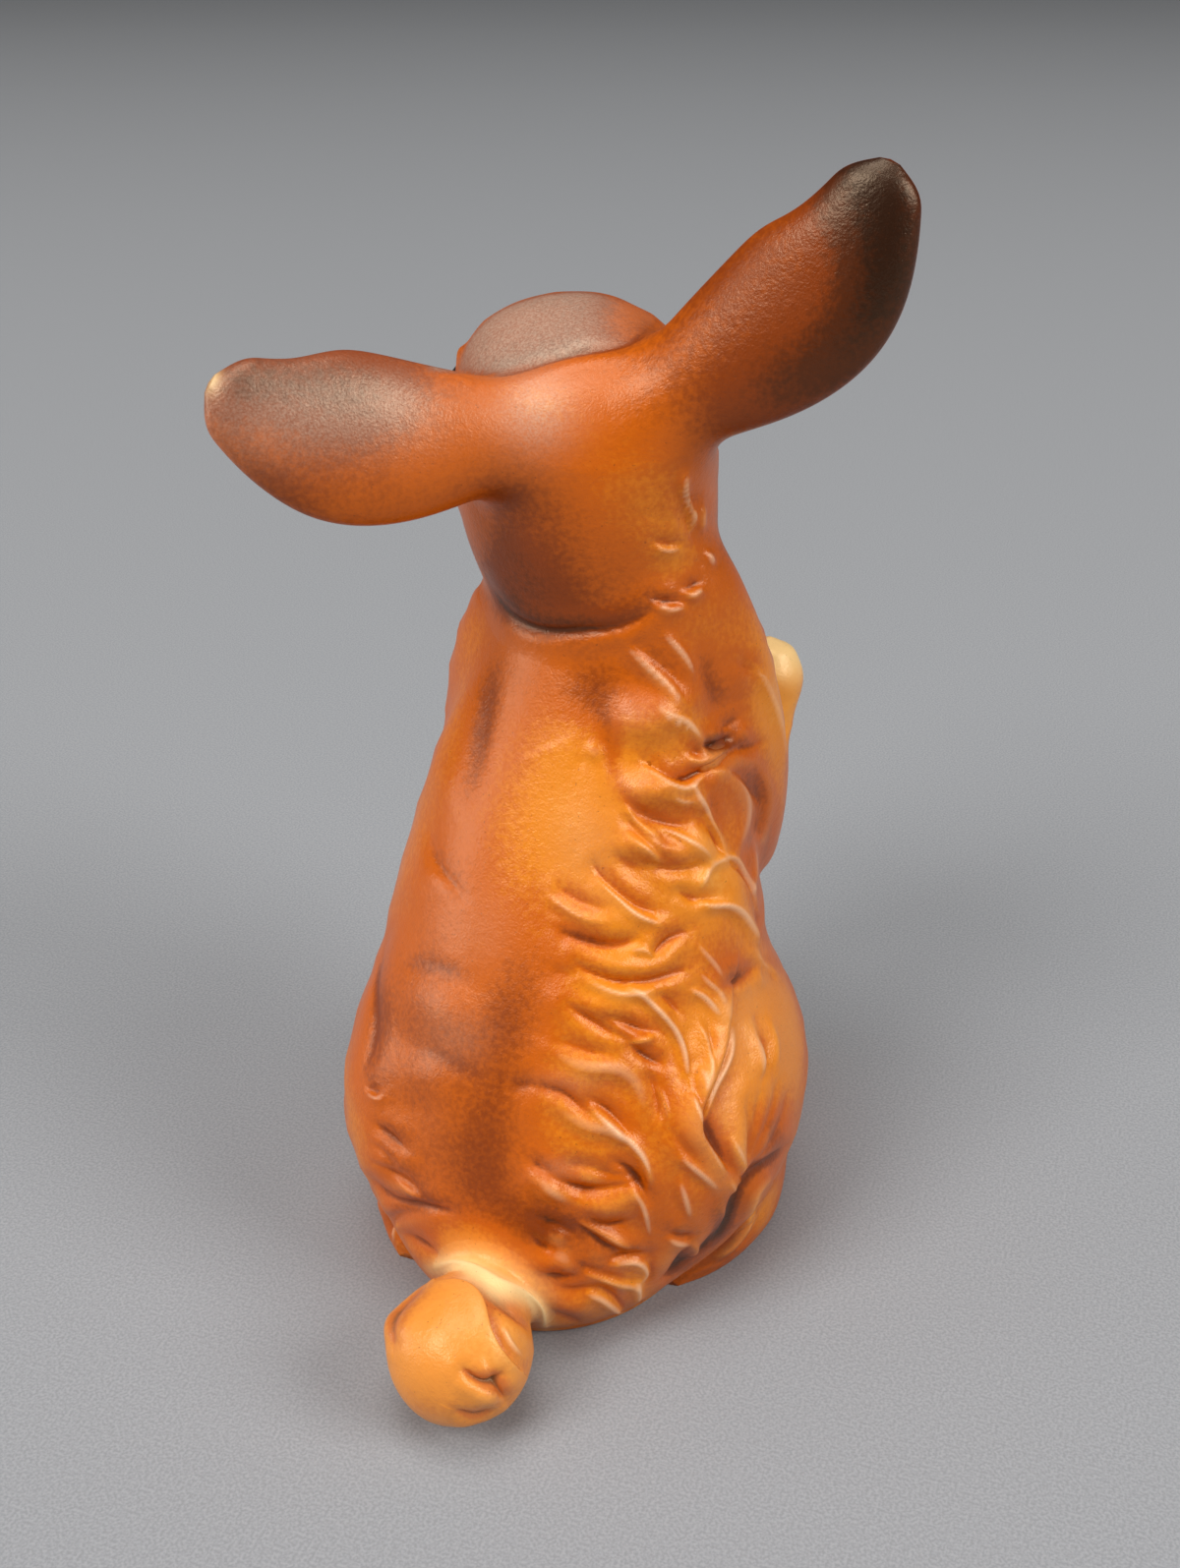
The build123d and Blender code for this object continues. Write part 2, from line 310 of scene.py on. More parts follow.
def on_head(place):
    """A place given across, crownwards and forwards from the head's centre."""
    return head_middle + np.array(place) @ face_axes


def skull_round(q):
    """1 on the skull's skin: a half ellipsoid behind, tapering ellipses in front."""
    share = q[..., 2] / head_half_length
    wide, high, lift = face_at(np.maximum(share, skull_widest))
    behind = np.minimum(share - skull_widest, 0) / skull_back
    x = q[..., 0] / (wide * head_half_width)
    y = (q[..., 1] - lift * head_half_height) / (high * head_half_height)
    return np.sqrt(x**2 + y**2 + behind**2)


def skull_gap(q):
    """Outside the skull: (k - 1) over its slope, which is measured over a small step."""
    k = skull_round(q)
    step = 0.05
    slopes = [(skull_round(q + step * axis) - k) / step for axis in level_axes]
    gap = (k - 1) / (np.linalg.norm(slopes, axis=0) + speck)
    return np.maximum(gap, q[..., 2] - face_shares[-1][0] * head_half_length)


def nape_gap(p):
    """Outside the neck that the head carries."""
    height = (p[..., 2] - torso_height) / nape_rise
    (share,) = nape_at(height)
    x = p[..., 0] - neck_seat[0] - height * nape_lean[0]
    y = p[..., 1] - neck_seat[1] - height * nape_lean[1]
    side = stack_gap(x, y, share * nape_halves[0], share * nape_halves[1])
    ends = np.maximum(nape_shares[0][0] - height, height - 1) * nape_rise
    return np.maximum(side, ends)


def head_gap(p):
    """Outside the head with its nape, brows, muzzle and nose."""
    q = (p - head_middle) @ face_axes.T
    gap = merged(skull_gap(q), nape_gap(p), nape_fillet)
    for place, halves, soft in (brow, muzzle_pad, nose_pad):
        for side in (-1, 1):
            centre = (side * place[0], place[1], place[2])
            gap = merged(gap, ball_gap(q, centre, level_axes, halves), soft)
    return gap


def tail_gap(p):
    """Outside the tail's ball and its root."""
    ball = ball_gap(p, tail_centre, level_axes, (tail_radius,) * 3)
    root = np.hypot(p[..., 0], p[..., 2] - tail_centre[2]) - tail_root_radius
    root = np.maximum(root, p[..., 1] - tail_centre[1])
    return merged(ball, root, tail_root_fillet)


stretches = 14
halvings = 15
longest_ray = 60.0


def first_exit(outside, near, far):
    """The first length at which rays leave a form, or the far one where they don't.

    Even stretches find the one that holds it, and halving narrows that down."""
    low, high, before = far, far, near
    left = np.zeros(near.shape, bool)
    for share in np.linspace(0, 1, stretches + 1)[1:]:
        here = near + (far - near) * share
        now = outside(here) & ~left
        low = np.where(now, before, low)
        high = np.where(now, here, high)
        left |= now
        before = here
    for _ in range(halvings):
        middle = (low + high) / 2
        beyond = outside(middle)
        high = np.where(beyond, middle, high)
        low = np.where(beyond, low, middle)
    return low


def reach(starts, directions, gap):
    """The skin that rays from inside a form come out through."""

    def beyond(r):
        """Whether the rays are outside at that length."""
        return gap(starts + directions * r[..., None]) > 0

    near = np.zeros(directions.shape[:-1])
    length = first_exit(beyond, near, near + longest_ray)
    return starts + directions * length[..., None]


least_sunk = 0.02
more_sunk = 0.3


def run_together(own, host, soft):
    """A form's distance, filleted into its host. Past the fillet it sinks a little
    under the host's skin."""
    sunk = least_sunk + more_sunk * rise(own, 0.85 * soft, 1.5 * soft)
    return merged(own, host + sunk, soft)


def reach_into(starts, directions, own, host, soft):
    """The skin of a form that runs into its host with a fillet."""
    length = np.linalg.norm(reach(starts, directions, own) - starts, axis=-1)

    def beyond(r):
        """Whether the rays are outside the filleted form at that length."""
        points = starts + directions * r[..., None]
        return run_together(own(points), host(points), soft) > 0

    length = first_exit(beyond, 0.9 * length, length + 2.5 * soft)
    return starts + directions * length[..., None]


def lengthened(centre, offset, host, soft):
    """A limb's section, its offsets lengthened until they run into the host."""
    length = np.linalg.norm(offset, axis=-1)

    def beyond(share):
        """Whether the offsets are outside when lengthened by that share."""
        away = host(centre + offset * share[..., None])
        return run_together((share - 1) * length, away, soft) > 0

    share = first_exit(beyond, 0.98 + 0 * length, 1 + 1.8 * soft / np.maximum(length, 0.5))
    return centre + offset * share[..., None]


# Surfaces, each a grid of rows that close round, with a point at either end


def round_angles(count, towards=0.0, crowd=0.0):
    """Angles round the form, closer together about one direction where crowd is above 0."""
    turn = np.arange(count) / count * 2 * np.pi
    return turn - crowd * np.sin(turn) + np.radians(towards)


def ring_directions(angles):
    """Level directions at the angles."""
    return np.stack([np.cos(angles), np.sin(angles), np.zeros_like(angles)], axis=-1)


def ball_rays(rows, columns, axis):
    """Directions over a sphere from its lower pole to its upper, about the axis."""
    axis = unit(axis)
    first = unit(np.cross((0.3, 1.0, 0.2), axis))
    second = np.cross(axis, first)
    fall = np.linspace(0, np.pi, rows + 2)[1:-1, None, None]
    turn = round_angles(columns)[None, :, None]
    level = first * np.cos(turn) + second * np.sin(turn)
    return level * np.sin(fall) - axis * np.cos(fall)


def grid_normals(grid, ends):
    """Outward directions of a closed grid, from the crossing of its two slopes."""
    full = np.concatenate([ends[0] + 0 * grid[:1], grid, ends[1] + 0 * grid[:1]])
    down = full[2:] - full[:-2]
    round_ = np.roll(grid, -1, axis=1) - np.roll(grid, 1, axis=1)
    normals = unit(np.cross(round_, down))
    middle = grid.reshape(-1, 3).mean(axis=0)
    outward = np.sum(normals * (grid - middle)) > 0
    return normals if outward else -normals


def make_piece(name, grid, ends, layers, material):
    """Makes the mesh of a closed grid: quads between rows, and a fan round each end."""
    rows, columns = grid.shape[:2]
    points = np.concatenate([grid.reshape(-1, 3), [ends[0], ends[1]]])
    index = np.arange(rows * columns).reshape(rows, columns)
    beside = np.roll(index, -1, axis=1)
    quads = np.stack([index[:-1], beside[:-1], beside[1:], index[1:]], axis=-1)
    first, last = rows * columns, rows * columns + 1
    start = np.stack([beside[0], index[0], 0 * index[0] + first], axis=-1)
    end = np.stack([index[-1], beside[-1], 0 * index[-1] + last], axis=-1)
    a, b, c, d = (points[quads[..., corner]] for corner in range(4))
    volume = np.sum(np.cross(c - a, d - b) * (a + b + c + d))
    faces = [quads.reshape(-1, 4), start, end]
    if volume < 0:
        faces = [face[:, ::-1] for face in faces]
    mesh = bpy.data.meshes.new(name)
    mesh.from_pydata((points * metres).tolist(), [], sum((f.tolist() for f in faces), []))
    mesh.polygons.foreach_set("use_smooth", np.ones(len(mesh.polygons), bool))
    for layer, values in layers.items():
        flat = np.asarray(values, float).reshape(-1)
        full = np.concatenate([flat, [flat[:columns].mean(), flat[-columns:].mean()]])
        data = mesh.attributes.new(layer, "FLOAT", "POINT").data
        data.foreach_set("value", full.astype(np.float32))
    mesh.materials.append(material)
    piece = bpy.data.objects.new(name, mesh)
    bpy.context.scene.collection.objects.link(piece)
    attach(piece, "root")
    return piece


# Carving, drawn as strokes over the picture of the back


eye_back = unit(eye_point - look_point)
eye_right = unit(np.cross((0, 0, 1), eye_back))
eye_up = np.cross(eye_back, eye_right)


def drawn_at(points):
    """Where points fall in the picture: across from its left edge, down from its top."""
    offset = points - eye_point
    depth = -(offset @ eye_back)
    across = picture[0] / 2 + picture_distance * (offset @ eye_right) / depth
    down = picture[1] / 2 - picture_distance * (offset @ eye_up) / depth
    return np.stack([across, down], axis=-1)


def faced(points, normals):
    """1 where the surface is turned to the eye, 0 where it is turned away."""
    return rise(np.sum(normals * unit(eye_point - points), axis=-1), 0.02, 0.28)


stroke_points = 26


def stroke_distance(places, stroke):
    """Signed distance to a smooth stroke, and the share of its length at the nearest point.

    The distance is above zero below a stroke that runs to the right in the picture, and
    to the left of one that runs down."""
    path = line_through(np.reshape(stroke, (-1, 2)))(np.linspace(0, 1, stroke_points))
    start, run = path[:-1], np.diff(path, axis=0)
    offset = places[:, None] - start
    share = np.clip(np.sum(offset * run, -1) / (np.sum(run * run, -1) + speck), 0, 1)
    miss = offset - share[..., None] * run
    distance = np.linalg.norm(miss, axis=-1)
    nearest = np.argmin(distance, axis=1)
    rows = np.arange(len(places))
    side = run[nearest, 0] * miss[rows, nearest, 1] - run[nearest, 1] * miss[rows, nearest, 0]
    along = (nearest + share[rows, nearest]) / len(run)
    return distance[rows, nearest] * np.sign(side + speck), along


def groove(side, width):
    """A cut, two bells deep, between two bells that are its rolled lips. The lip on its
    lower side is the higher one."""
    return (
        0.60 * hump(side - 3.9 * width, 2.9 * width)
        + 0.35 * hump(side + 4.1 * width, 3.1 * width)
        - 0.55 * hump(side, 0.8 * width)
        - 0.65 * hump(side, 2.1 * width)
    )


def crest(side, width):
    """A narrow raised thread: a bell on a broader one, and a shallow one cut from its
    lower side."""
    return (
        hump(side, width)
        + 0.45 * hump(side, 3.2 * width)
        - 0.4 * hump(side - 3.4 * width, 1.8 * width)
    )


def roll(side, width):
    """A broad raised lock: a bell, steeper on its lower side, where another is cut."""
    return hump(side, width) - 0.3 * hump(side - 1.9 * width, width)


def step(side, width):
    """A drop: half a bell up to the left of a downward stroke, and half a bell down to
    its right."""
    high = hump(np.maximum(side, 0), 4 * width)
    low = -0.7 * hump(np.minimum(side, 0), 4.5 * width)
    return low + (high - low) * rise(side, -0.5 * width, 0.8 * width)


# Each kind of stroke: its form, its width over the picture and its height
forms = {
    "groove": (groove, 3.1, 0.62),
    "hollow": (groove, 6.5, 0.55),
    "fold": (groove, 13.0, 0.8),
    "crest": (crest, 3.0, 0.50),
    "thread": (crest, 4.8, 0.60),
    "roll": (roll, 9.0, 0.6),
    "swell": (roll, 22.0, 0.5),
    "step": (step, 4.5, 0.9),
}
# Where beside a stroke, how wide and how much its glaze wears away, or below zero pools. On
# crests, threads and rolls the wear is also a painted highlight, and beside a groove the pooling
# is also a painted shade under the lock above it.
rubbed_and_painted_light = {
    "crest": (0.0, 0.9, 0.60),
    "thread": (0.0, 0.7, 0.55),
    "roll": (0.0, 0.8, 0.30),
    "groove": (-2.0, 3.2, -0.50),
    "hollow": (-1.2, 2.2, -0.30),
}
tallest_carving = 1.3
fine_width = 8


def carved(points, normals):
    """Height that the strokes add to a surface where it is turned to the eye, and beside them
    how far the glaze wears away, above zero, or pools, below zero. The wear is also a painted
    highlight on the crests, and the pooling a painted shade under the locks. A stroke fades
    towards its ends, a broad one sooner, and past 7 widths to either side."""
    places = drawn_at(points).reshape(-1, 2)
    shown = faced(points, normals).reshape(-1)
    height = np.zeros(len(places))
    wear_and_painted_light = np.zeros(len(places))
    for kind, drawn in strokes.items():
        form, width, depth = forms[kind]
        for stroke in drawn:
            scale = 1.0
            if len(stroke) % 2:
                scale, stroke = stroke[0], stroke[1:]
            ends = np.reshape(stroke, (-1, 2))
            room = 11 * width
            inside = np.all(places > ends.min(0) - room, axis=1)
            inside &= np.all(places < ends.max(0) + room, axis=1) & (shown > 0)
            if inside.any():
                side, along = stroke_distance(places[inside], stroke)
                taper = np.clip(np.sin(np.pi * (0.04 + 0.92 * along)), 0, 1)
                taper = taper ** (0.5 if width < fine_width else 1.5)
                edge = hump(np.maximum(np.abs(side) - 7 * width, 0), 2 * width)
                height[inside] += scale * depth * taper * edge * form(side, width)
                at, wide, much = rubbed_and_painted_light.get(kind, (0.0, 1.0, 0.0))
                wear_and_painted_light[inside] += scale * much * taper * hump(side - at * width, wide * width)
    height = tallest_carving * np.tanh(height / tallest_carving) * shown
    wear_and_painted_light = np.tanh(wear_and_painted_light) * shown
    return height.reshape(points.shape[:-1]), wear_and_painted_light.reshape(points.shape[:-1])


# Strokes over the picture. Each is a run of places, across and down. Where its count of
# numbers is odd, the first one scales the stroke's height.
shoulder_grooves = [
    (0.6, 650, 660, 668, 675, 684, 689, 694, 703),
    (1.5, 710, 757, 722, 759, 732, 756, 742, 748),
    (0.8, 700, 763, 706, 766, 712, 767),
    (0.5, 733, 741, 741, 736, 750, 730),
    (1.2, 655, 775, 668, 784, 680, 791, 694, 793, 706, 788, 722, 777, 735, 767, 750, 760,
     768, 757),
    (0.8, 735, 783, 748, 790, 758, 800, 768, 812),
    (0.8, 640, 836, 650, 850, 662, 862, 675, 872),
    (0.8, 752, 670, 758, 676, 767, 682),
    (0.8, 712, 826, 716, 838, 724, 852, 730, 868),
    (0.7, 748, 876, 757, 894, 763, 916, 768, 940),
    (0.7, 764, 790, 772, 810, 770, 840, 762, 864),
    (0.8, 664, 880, 682, 884, 700, 883, 716, 878),
    (0.8, 690, 905, 700, 912, 712, 914, 726, 912),
]
flank_grooves = [
    (1.1, 604, 880, 612, 892, 622, 903, 634, 913, 648, 922, 664, 927),
    (0.7, 570, 904, 585, 914, 600, 921, 615, 925),
    (0.7, 575, 951, 595, 957, 615, 962, 632, 961, 646, 955),
    (0.9, 663, 972, 672, 962, 682, 954, 697, 948),
    (1.1, 588, 982, 604, 990, 622, 997, 640, 999, 656, 998, 672, 994, 694, 987),
    (0.9, 577, 1022, 602, 1038, 620, 1049, 640, 1058),
    (1.0, 618, 1034, 635, 1040, 650, 1046, 666, 1050),
    (1.0, 640, 1062, 650, 1070, 662, 1077, 673, 1082),
    (0.9, 556, 1107, 575, 1113, 588, 1124, 602, 1135),
    (1.0, 600, 1117, 612, 1125, 622, 1133, 632, 1144, 642, 1156),
    (0.7, 668, 1010, 680, 1018, 690, 1030),
    (0.7, 660, 1092, 668, 1112, 672, 1134),
    (0.6, 684, 1150, 694, 1166, 704, 1178),
    (0.5, 568, 1060, 584, 1064, 600, 1070, 618, 1072),
]
rump_grooves = [
    (1.1, 625, 1181, 636, 1187, 645, 1196, 652, 1206, 658, 1220),
    (0.7, 578, 1184, 600, 1187, 620, 1193, 642, 1196),
    (1.0, 548, 1185, 562, 1196, 578, 1204, 595, 1209, 612, 1208, 630, 1205, 648, 1203),
    (0.7, 540, 1182, 548, 1188, 556, 1196),
    (0.9, 600, 1239, 612, 1245, 624, 1245, 636, 1242),
    (0.9, 588, 1245, 602, 1255, 614, 1264, 628, 1269),
    (0.6, 545, 1238, 562, 1244, 580, 1252, 594, 1268),
    (0.7, 544, 1260, 552, 1268, 566, 1269),
    (0.8, 580, 1275, 592, 1287, 606, 1293, 622, 1298, 640, 1301),
    (1.0, 618, 1280, 636, 1277, 657, 1274),
    (0.8, 659, 1280, 660, 1292, 654, 1302),
    (0.8, 550, 1296, 570, 1299, 588, 1296),
    (0.8, 560, 1306, 578, 1311, 596, 1309, 612, 1310),
    (1.0, 612, 1310, 624, 1318, 634, 1332),
    (0.6, 560, 1330, 576, 1338, 592, 1346),
]
haunch_grooves = [
    (1.0, 740, 1002, 749, 996, 757, 992),
    (0.6, 758, 992, 766, 984),
    (0.8, 772, 975, 780, 984, 788, 996),
    (0.9, 720, 1045, 722, 1060, 721, 1080),
    (1.0, 706, 1112, 712, 1130, 720, 1152, 732, 1176, 742, 1196, 748, 1214),
    (1.3, 800, 1166, 780, 1183, 763, 1198, 751, 1216, 745, 1232, 733, 1255, 717, 1270,
     698, 1283, 676, 1299),
    (1.0, 680, 1254, 692, 1257, 704, 1254),
    (1.0, 699, 1264, 692, 1276, 684, 1290, 678, 1298),
    (0.8, 760, 1120, 761, 1150, 760, 1170, 757, 1190),
    (0.7, 772, 1110, 768, 1135, 764, 1156, 760, 1176),
    (0.8, 790, 1100, 784, 1126, 774, 1150, 764, 1178),
    (0.8, 800, 1112, 794, 1138, 780, 1164, 764, 1188),
    (0.6, 778, 1056, 780, 1076, 776, 1098),
    (0.5, 768, 1030, 774, 1050, 777, 1070),
    (0.5, 778, 1212, 768, 1240, 748, 1268, 720, 1292),
    (0.5, 790, 1212, 782, 1240, 762, 1266),
    (0.5, 766, 1281, 740, 1284, 716, 1288, 694, 1298),
]
left_grooves = [
    (0.35, 438, 846, 443, 870, 454, 888, 466, 904, 471, 916),
    (0.6, 396, 945, 387, 975, 384, 1010, 382, 1050, 376, 1075, 368, 1096),
    (0.6, 371, 1100, 378, 1110, 388, 1109),
    (0.9, 384, 1145, 396, 1154, 413, 1167),
    (0.7, 382, 1163, 394, 1172, 406, 1182),
    (0.8, 382, 1180, 404, 1192, 418, 1202, 431, 1214),
    (1.0, 380, 1200, 394, 1212, 410, 1219, 430, 1224, 456, 1232),
    (0.9, 397, 1264, 400, 1248, 405, 1238, 415, 1233, 430, 1233),
    (0.8, 412, 1254, 426, 1262, 444, 1276),
]
head_grooves = [
    (1.1, 664, 609, 678, 613, 693, 612),
    (0.9, 694, 598, 702, 597, 712, 592),
    (0.6, 666, 550, 680, 554, 692, 553),
    (0.6, 692, 502, 699, 528, 706, 552),
    (0.7, 702, 500, 707, 516, 709, 534),
    (0.6, 486, 381, 510, 380, 560, 366, 600, 357, 640, 348, 668, 328),
    (0.9, 492, 586, 502, 606, 520, 627, 550, 641, 590, 642, 630, 637, 662, 622),
]
tail_grooves = [
    (1.4, 472, 1394, 484, 1403, 497, 1406, 508, 1398),
    (1.4, 502, 1405, 507, 1413, 512, 1422),
    (466, 1436, 482, 1441, 502, 1434),
    (1.2, 432, 1306, 410, 1326, 403, 1344, 401, 1366),
    (0.9, 498, 1310, 520, 1334, 540, 1352),
]
shoulder_crests = [
    (0.7, 749, 668, 762, 675, 780, 700, 790, 725, 797, 752, 800, 775),
    (698, 771, 710, 775, 726, 766, 740, 763),
    (1.2, 655, 781, 666, 788, 680, 797, 694, 800, 706, 793, 718, 784, 728, 784),
    (1.4, 701, 800, 708, 813, 716, 824, 722, 836, 730, 850, 736, 868),
    (0.8, 680, 810, 690, 815, 702, 815),
    (0.8, 636, 822, 644, 833, 654, 842, 666, 849),
    (0.9, 664, 840, 680, 845, 695, 853, 709, 863, 722, 876),
    (0.8, 640, 852, 650, 859, 660, 868, 669, 877),
    (1.3, 722, 878, 732, 873, 744, 873, 754, 884, 762, 902, 770, 926),
    (0.8, 721, 880, 716, 890, 711, 902),
    (1.3, 713, 918, 722, 921, 736, 921, 748, 927, 758, 938, 767, 952),
    (0.8, 772, 850, 767, 872, 766, 892, 763, 908),
]
flank_crests = [
    (1.2, 610, 896, 620, 906, 632, 917, 646, 929, 668, 939),
    (0.6, 560, 914, 576, 924, 592, 932, 612, 936),
    (0.8, 640, 966, 654, 966, 664, 974),
    (0.8, 600, 998, 618, 1006, 640, 1010, 662, 1006),
    (1.3, 641, 1003, 652, 1012, 664, 1023, 676, 1036, 686, 1049, 693, 1064, 698, 1090),
    (0.7, 640, 1060, 652, 1057, 665, 1053),
    (1.1, 703, 1008, 712, 1012, 720, 1020, 728, 1032),
    (0.8, 713, 992, 720, 1000, 728, 1008, 733, 1019),
    (0.7, 710, 962, 718, 972, 726, 982, 733, 996),
    (0.8, 668, 1105, 674, 1120, 678, 1137),
    (1.1, 600, 1126, 615, 1138, 632, 1153),
    (1.2, 628, 1150, 642, 1160, 652, 1172, 658, 1184, 662, 1200),
    (1.0, 692, 1176, 702, 1185, 714, 1195, 726, 1206),
]
rump_crests = [
    (1.2, 590, 1242, 606, 1249, 620, 1255, 636, 1263),
    (1.3, 596, 1292, 608, 1297, 626, 1303, 646, 1308),
    (1.3, 622, 1284, 638, 1281, 651, 1283, 656, 1292, 650, 1302),
    (1.1, 646, 1302, 648, 1311, 647, 1322),
    (1.2, 597, 1313, 610, 1317, 623, 1326, 635, 1338),
    (0.9, 642, 1206, 652, 1220, 657, 1236, 660, 1252),
    (0.9, 692, 1204, 696, 1218, 700, 1234),
]
haunch_crests = [
    (1.1, 746, 1046, 745, 1068, 738, 1087, 728, 1106, 718, 1130, 711, 1152),
    (0.9, 712, 1045, 718, 1058, 721, 1075, 721, 1092, 717, 1106),
    (0.8, 712, 1088, 715, 1100, 714, 1112),
    (1.1, 703, 1115, 707, 1128, 712, 1142),
    (0.9, 711, 1153, 718, 1162, 725, 1175, 733, 1189),
    (1.2, 742, 1159, 748, 1171, 755, 1186),
    (1.1, 739, 1199, 744, 1206, 748, 1214),
    (1.0, 765, 967, 773, 978, 782, 985, 790, 994),
    (0.7, 772, 1060, 775, 1076, 775, 1092),
    (0.7, 782, 1040, 787, 1060, 788, 1082),
    (0.6, 765, 1045, 770, 1065, 774, 1086),
    (1.2, 680, 1258, 690, 1261, 699, 1262),
    (1.2, 704, 1262, 707, 1270, 701, 1279),
    (0.8, 733, 1228, 736, 1241, 731, 1254, 721, 1269),
    (1.2, 780, 1198, 768, 1210, 762, 1226, 757, 1244, 747, 1261, 732, 1275),
    (0.7, 700, 1296, 716, 1289, 738, 1283),
]
head_crests = [
    (1.3, 697, 484, 695, 497, 698, 512, 703, 526),
    (1.0, 704, 516, 703, 528, 702, 540),
    (1.2, 712, 514, 711, 526, 712, 538),
    (1.2, 664, 614, 678, 618, 694, 617),
    (1.3, 693, 603, 703, 604, 712, 598),
    (1.0, 718, 562, 721, 568, 724, 574),
    (0.8, 667, 556, 678, 559, 690, 557),
]
strokes = {
    "groove": shoulder_grooves + flank_grooves + rump_grooves + haunch_grooves
    + left_grooves + head_grooves + tail_grooves,
    "hollow": [
        (1.2, 792, 1172, 768, 1188, 752, 1208, 743, 1228, 731, 1252, 712, 1270, 690, 1284),
        (1.0, 634, 808, 645, 822, 660, 832, 680, 838, 700, 836, 714, 828),
        (0.6, 622, 866, 636, 876, 650, 882, 665, 882),
        (0.6, 560, 985, 576, 990, 590, 990),
        (0.6, 560, 945, 590, 952, 620, 958, 645, 955),
        (0.6, 520, 1106, 540, 1104, 560, 1108),
        (0.7, 700, 790, 716, 806, 726, 826, 738, 850),
    ],
    "crest": shoulder_crests + flank_crests + rump_crests + haunch_crests + head_crests
    + [
        (1.3, 444, 1288, 461, 1284, 488, 1293, 512, 1308, 547, 1328, 555, 1352),
        (0.8, 512, 1350, 520, 1366, 530, 1378),
        (0.6, 371, 1096, 378, 1114, 388, 1116, 391, 1106),
        (0.9, 408, 1200, 420, 1208, 432, 1217),
        (1.0, 407, 1240, 403, 1250, 401, 1262),
    ],
    "thread": [
        (1.0, 640, 660, 652, 671, 664, 683, 676, 695, 688, 712),
        (1.0, 676, 646, 686, 657, 695, 669, 702, 684),
        (1.1, 666, 716, 678, 727, 692, 734, 703, 745, 710, 755, 714, 766),
        (0.6, 728, 784, 740, 790, 752, 804, 757, 822, 755, 845, 748, 868),
        (0.6, 764, 772, 776, 790, 780, 812, 776, 840, 768, 872),
    ],
    "roll": [
        (0.8, 642, 834, 660, 855, 675, 876),
        (540, 1068, 562, 1070, 582, 1079, 602, 1083, 624, 1085, 642, 1096, 651, 1112, 656, 1150),
        (555, 1115, 576, 1130, 597, 1141, 618, 1146, 638, 1157, 652, 1174, 660, 1192),
        (1.2, 532, 1187, 548, 1192, 560, 1203, 572, 1215, 582, 1225),
        (0.8, 584, 1190, 600, 1192, 616, 1196),
        (0.8, 555, 1256, 564, 1258, 574, 1266),
        (0.9, 548, 1276, 564, 1273, 578, 1279, 592, 1291),
        (0.7, 734, 1012, 738, 1030, 739, 1048),
        (0.6, 596, 756, 604, 764, 611, 774),
        (0.6, 700, 796, 712, 812, 718, 836),
    ],
    "swell": [
        (0.45, 404, 1004, 440, 1022, 474, 1046, 492, 1060),
        (0.4, 404, 1096, 440, 1104, 476, 1114),
        (0.6, 590, 900, 616, 930, 650, 945),
        (0.6, 600, 1026, 622, 1024, 648, 1034),
        (0.6, 590, 1218, 620, 1222, 648, 1236),
        (0.6, 686, 1110, 696, 1140, 706, 1170),
    ],
    "fold": [
        (0.5, 596, 706, 616, 734, 622, 766, 626, 800, 640, 824),
        (0.5, 700, 640, 716, 676, 728, 716, 736, 744),
        (0.45, 504, 640, 499, 690, 491, 740, 482, 790, 466, 836),
        (0.35, 396, 976, 430, 981, 466, 992, 504, 1014),
        (0.35, 404, 1060, 440, 1070, 470, 1086, 504, 1106),
        (0.25, 396, 1122, 424, 1127, 456, 1138),
    ],
    "step": [
        (746, 1000, 742, 1034, 739, 1063, 728, 1095, 714, 1128, 712, 1149, 728, 1174, 748, 1196),
        (0.6, 700, 806, 716, 830, 730, 866, 752, 892, 768, 930, 772, 975),
        (1.3, 446, 1303, 470, 1304, 488, 1317, 498, 1346, 512, 1374, 527, 1391),
    ],
}
# Low mounds: across, down, half width, half height over the picture, and their height
mounds = [
    (658, 734, 36, 24, 2.0),
    (660, 804, 30, 19, 1.8),
    (722, 802, 20, 24, 0.6),
    (745, 905, 20, 24, 0.5),
    (755, 770, 18, 30, 0.6),
    (690, 864, 24, 12, 0.6),
    (612, 785, 18, 34, 0.3),
    (606, 846, 34, 34, 0.4),
    (644, 862, 28, 14, 0.8),
    (616, 942, 44, 16, 0.6),
    (630, 982, 40, 12, 0.6),
    (610, 1022, 34, 12, 0.5),
    (696, 1150, 20, 40, 0.6),
    (552, 1208, 24, 16, 0.7),
    (616, 1224, 32, 14, 0.9),
    (604, 1160, 40, 24, 0.8),
    (596, 1094, 40, 14, 0.6),
    (632, 1262, 26, 9, 0.5),
    (570, 1284, 28, 10, 0.5),
    (586, 1326, 40, 12, 0.6),
    (700, 700, 20, 30, 0.4),
    (455, 800, 20, 34, 0.5),
    (430, 900, 26, 26, 0.5),
    (400, 1010, 30, 30, 0.4),
    (420, 1090, 36, 20, 0.35),
    (396, 1180, 30, 14, 0.5),
    (404, 1220, 30, 12, 0.4),
]


def soft_fur(points, size):
    """Locks of fur for what the picture doesn't show: ridges of a warped sine."""
    x, y, z = (points[..., axis] / size for axis in range(3))
    sway = 1.6 * np.sin(0.35 * x + 0.9) + 1.3 * np.sin(0.31 * y + 0.14 * z)
    flow = 0.75 * z + sway + 0.5 * np.sin(1.1 * x - 0.6 * y)
    locks = 1 - np.abs(np.sin(flow + 0.6 * np.sin(0.55 * x + 0.5 * y + 0.3 * z)))
    patches = 0.5 + 0.5 * np.sin(0.27 * x + 0.19 * z) * np.sin(0.24 * y - 0.21 * z + 1.0)
    return (locks - 0.4) * (0.3 + 0.7 * patches)


# Airbrush


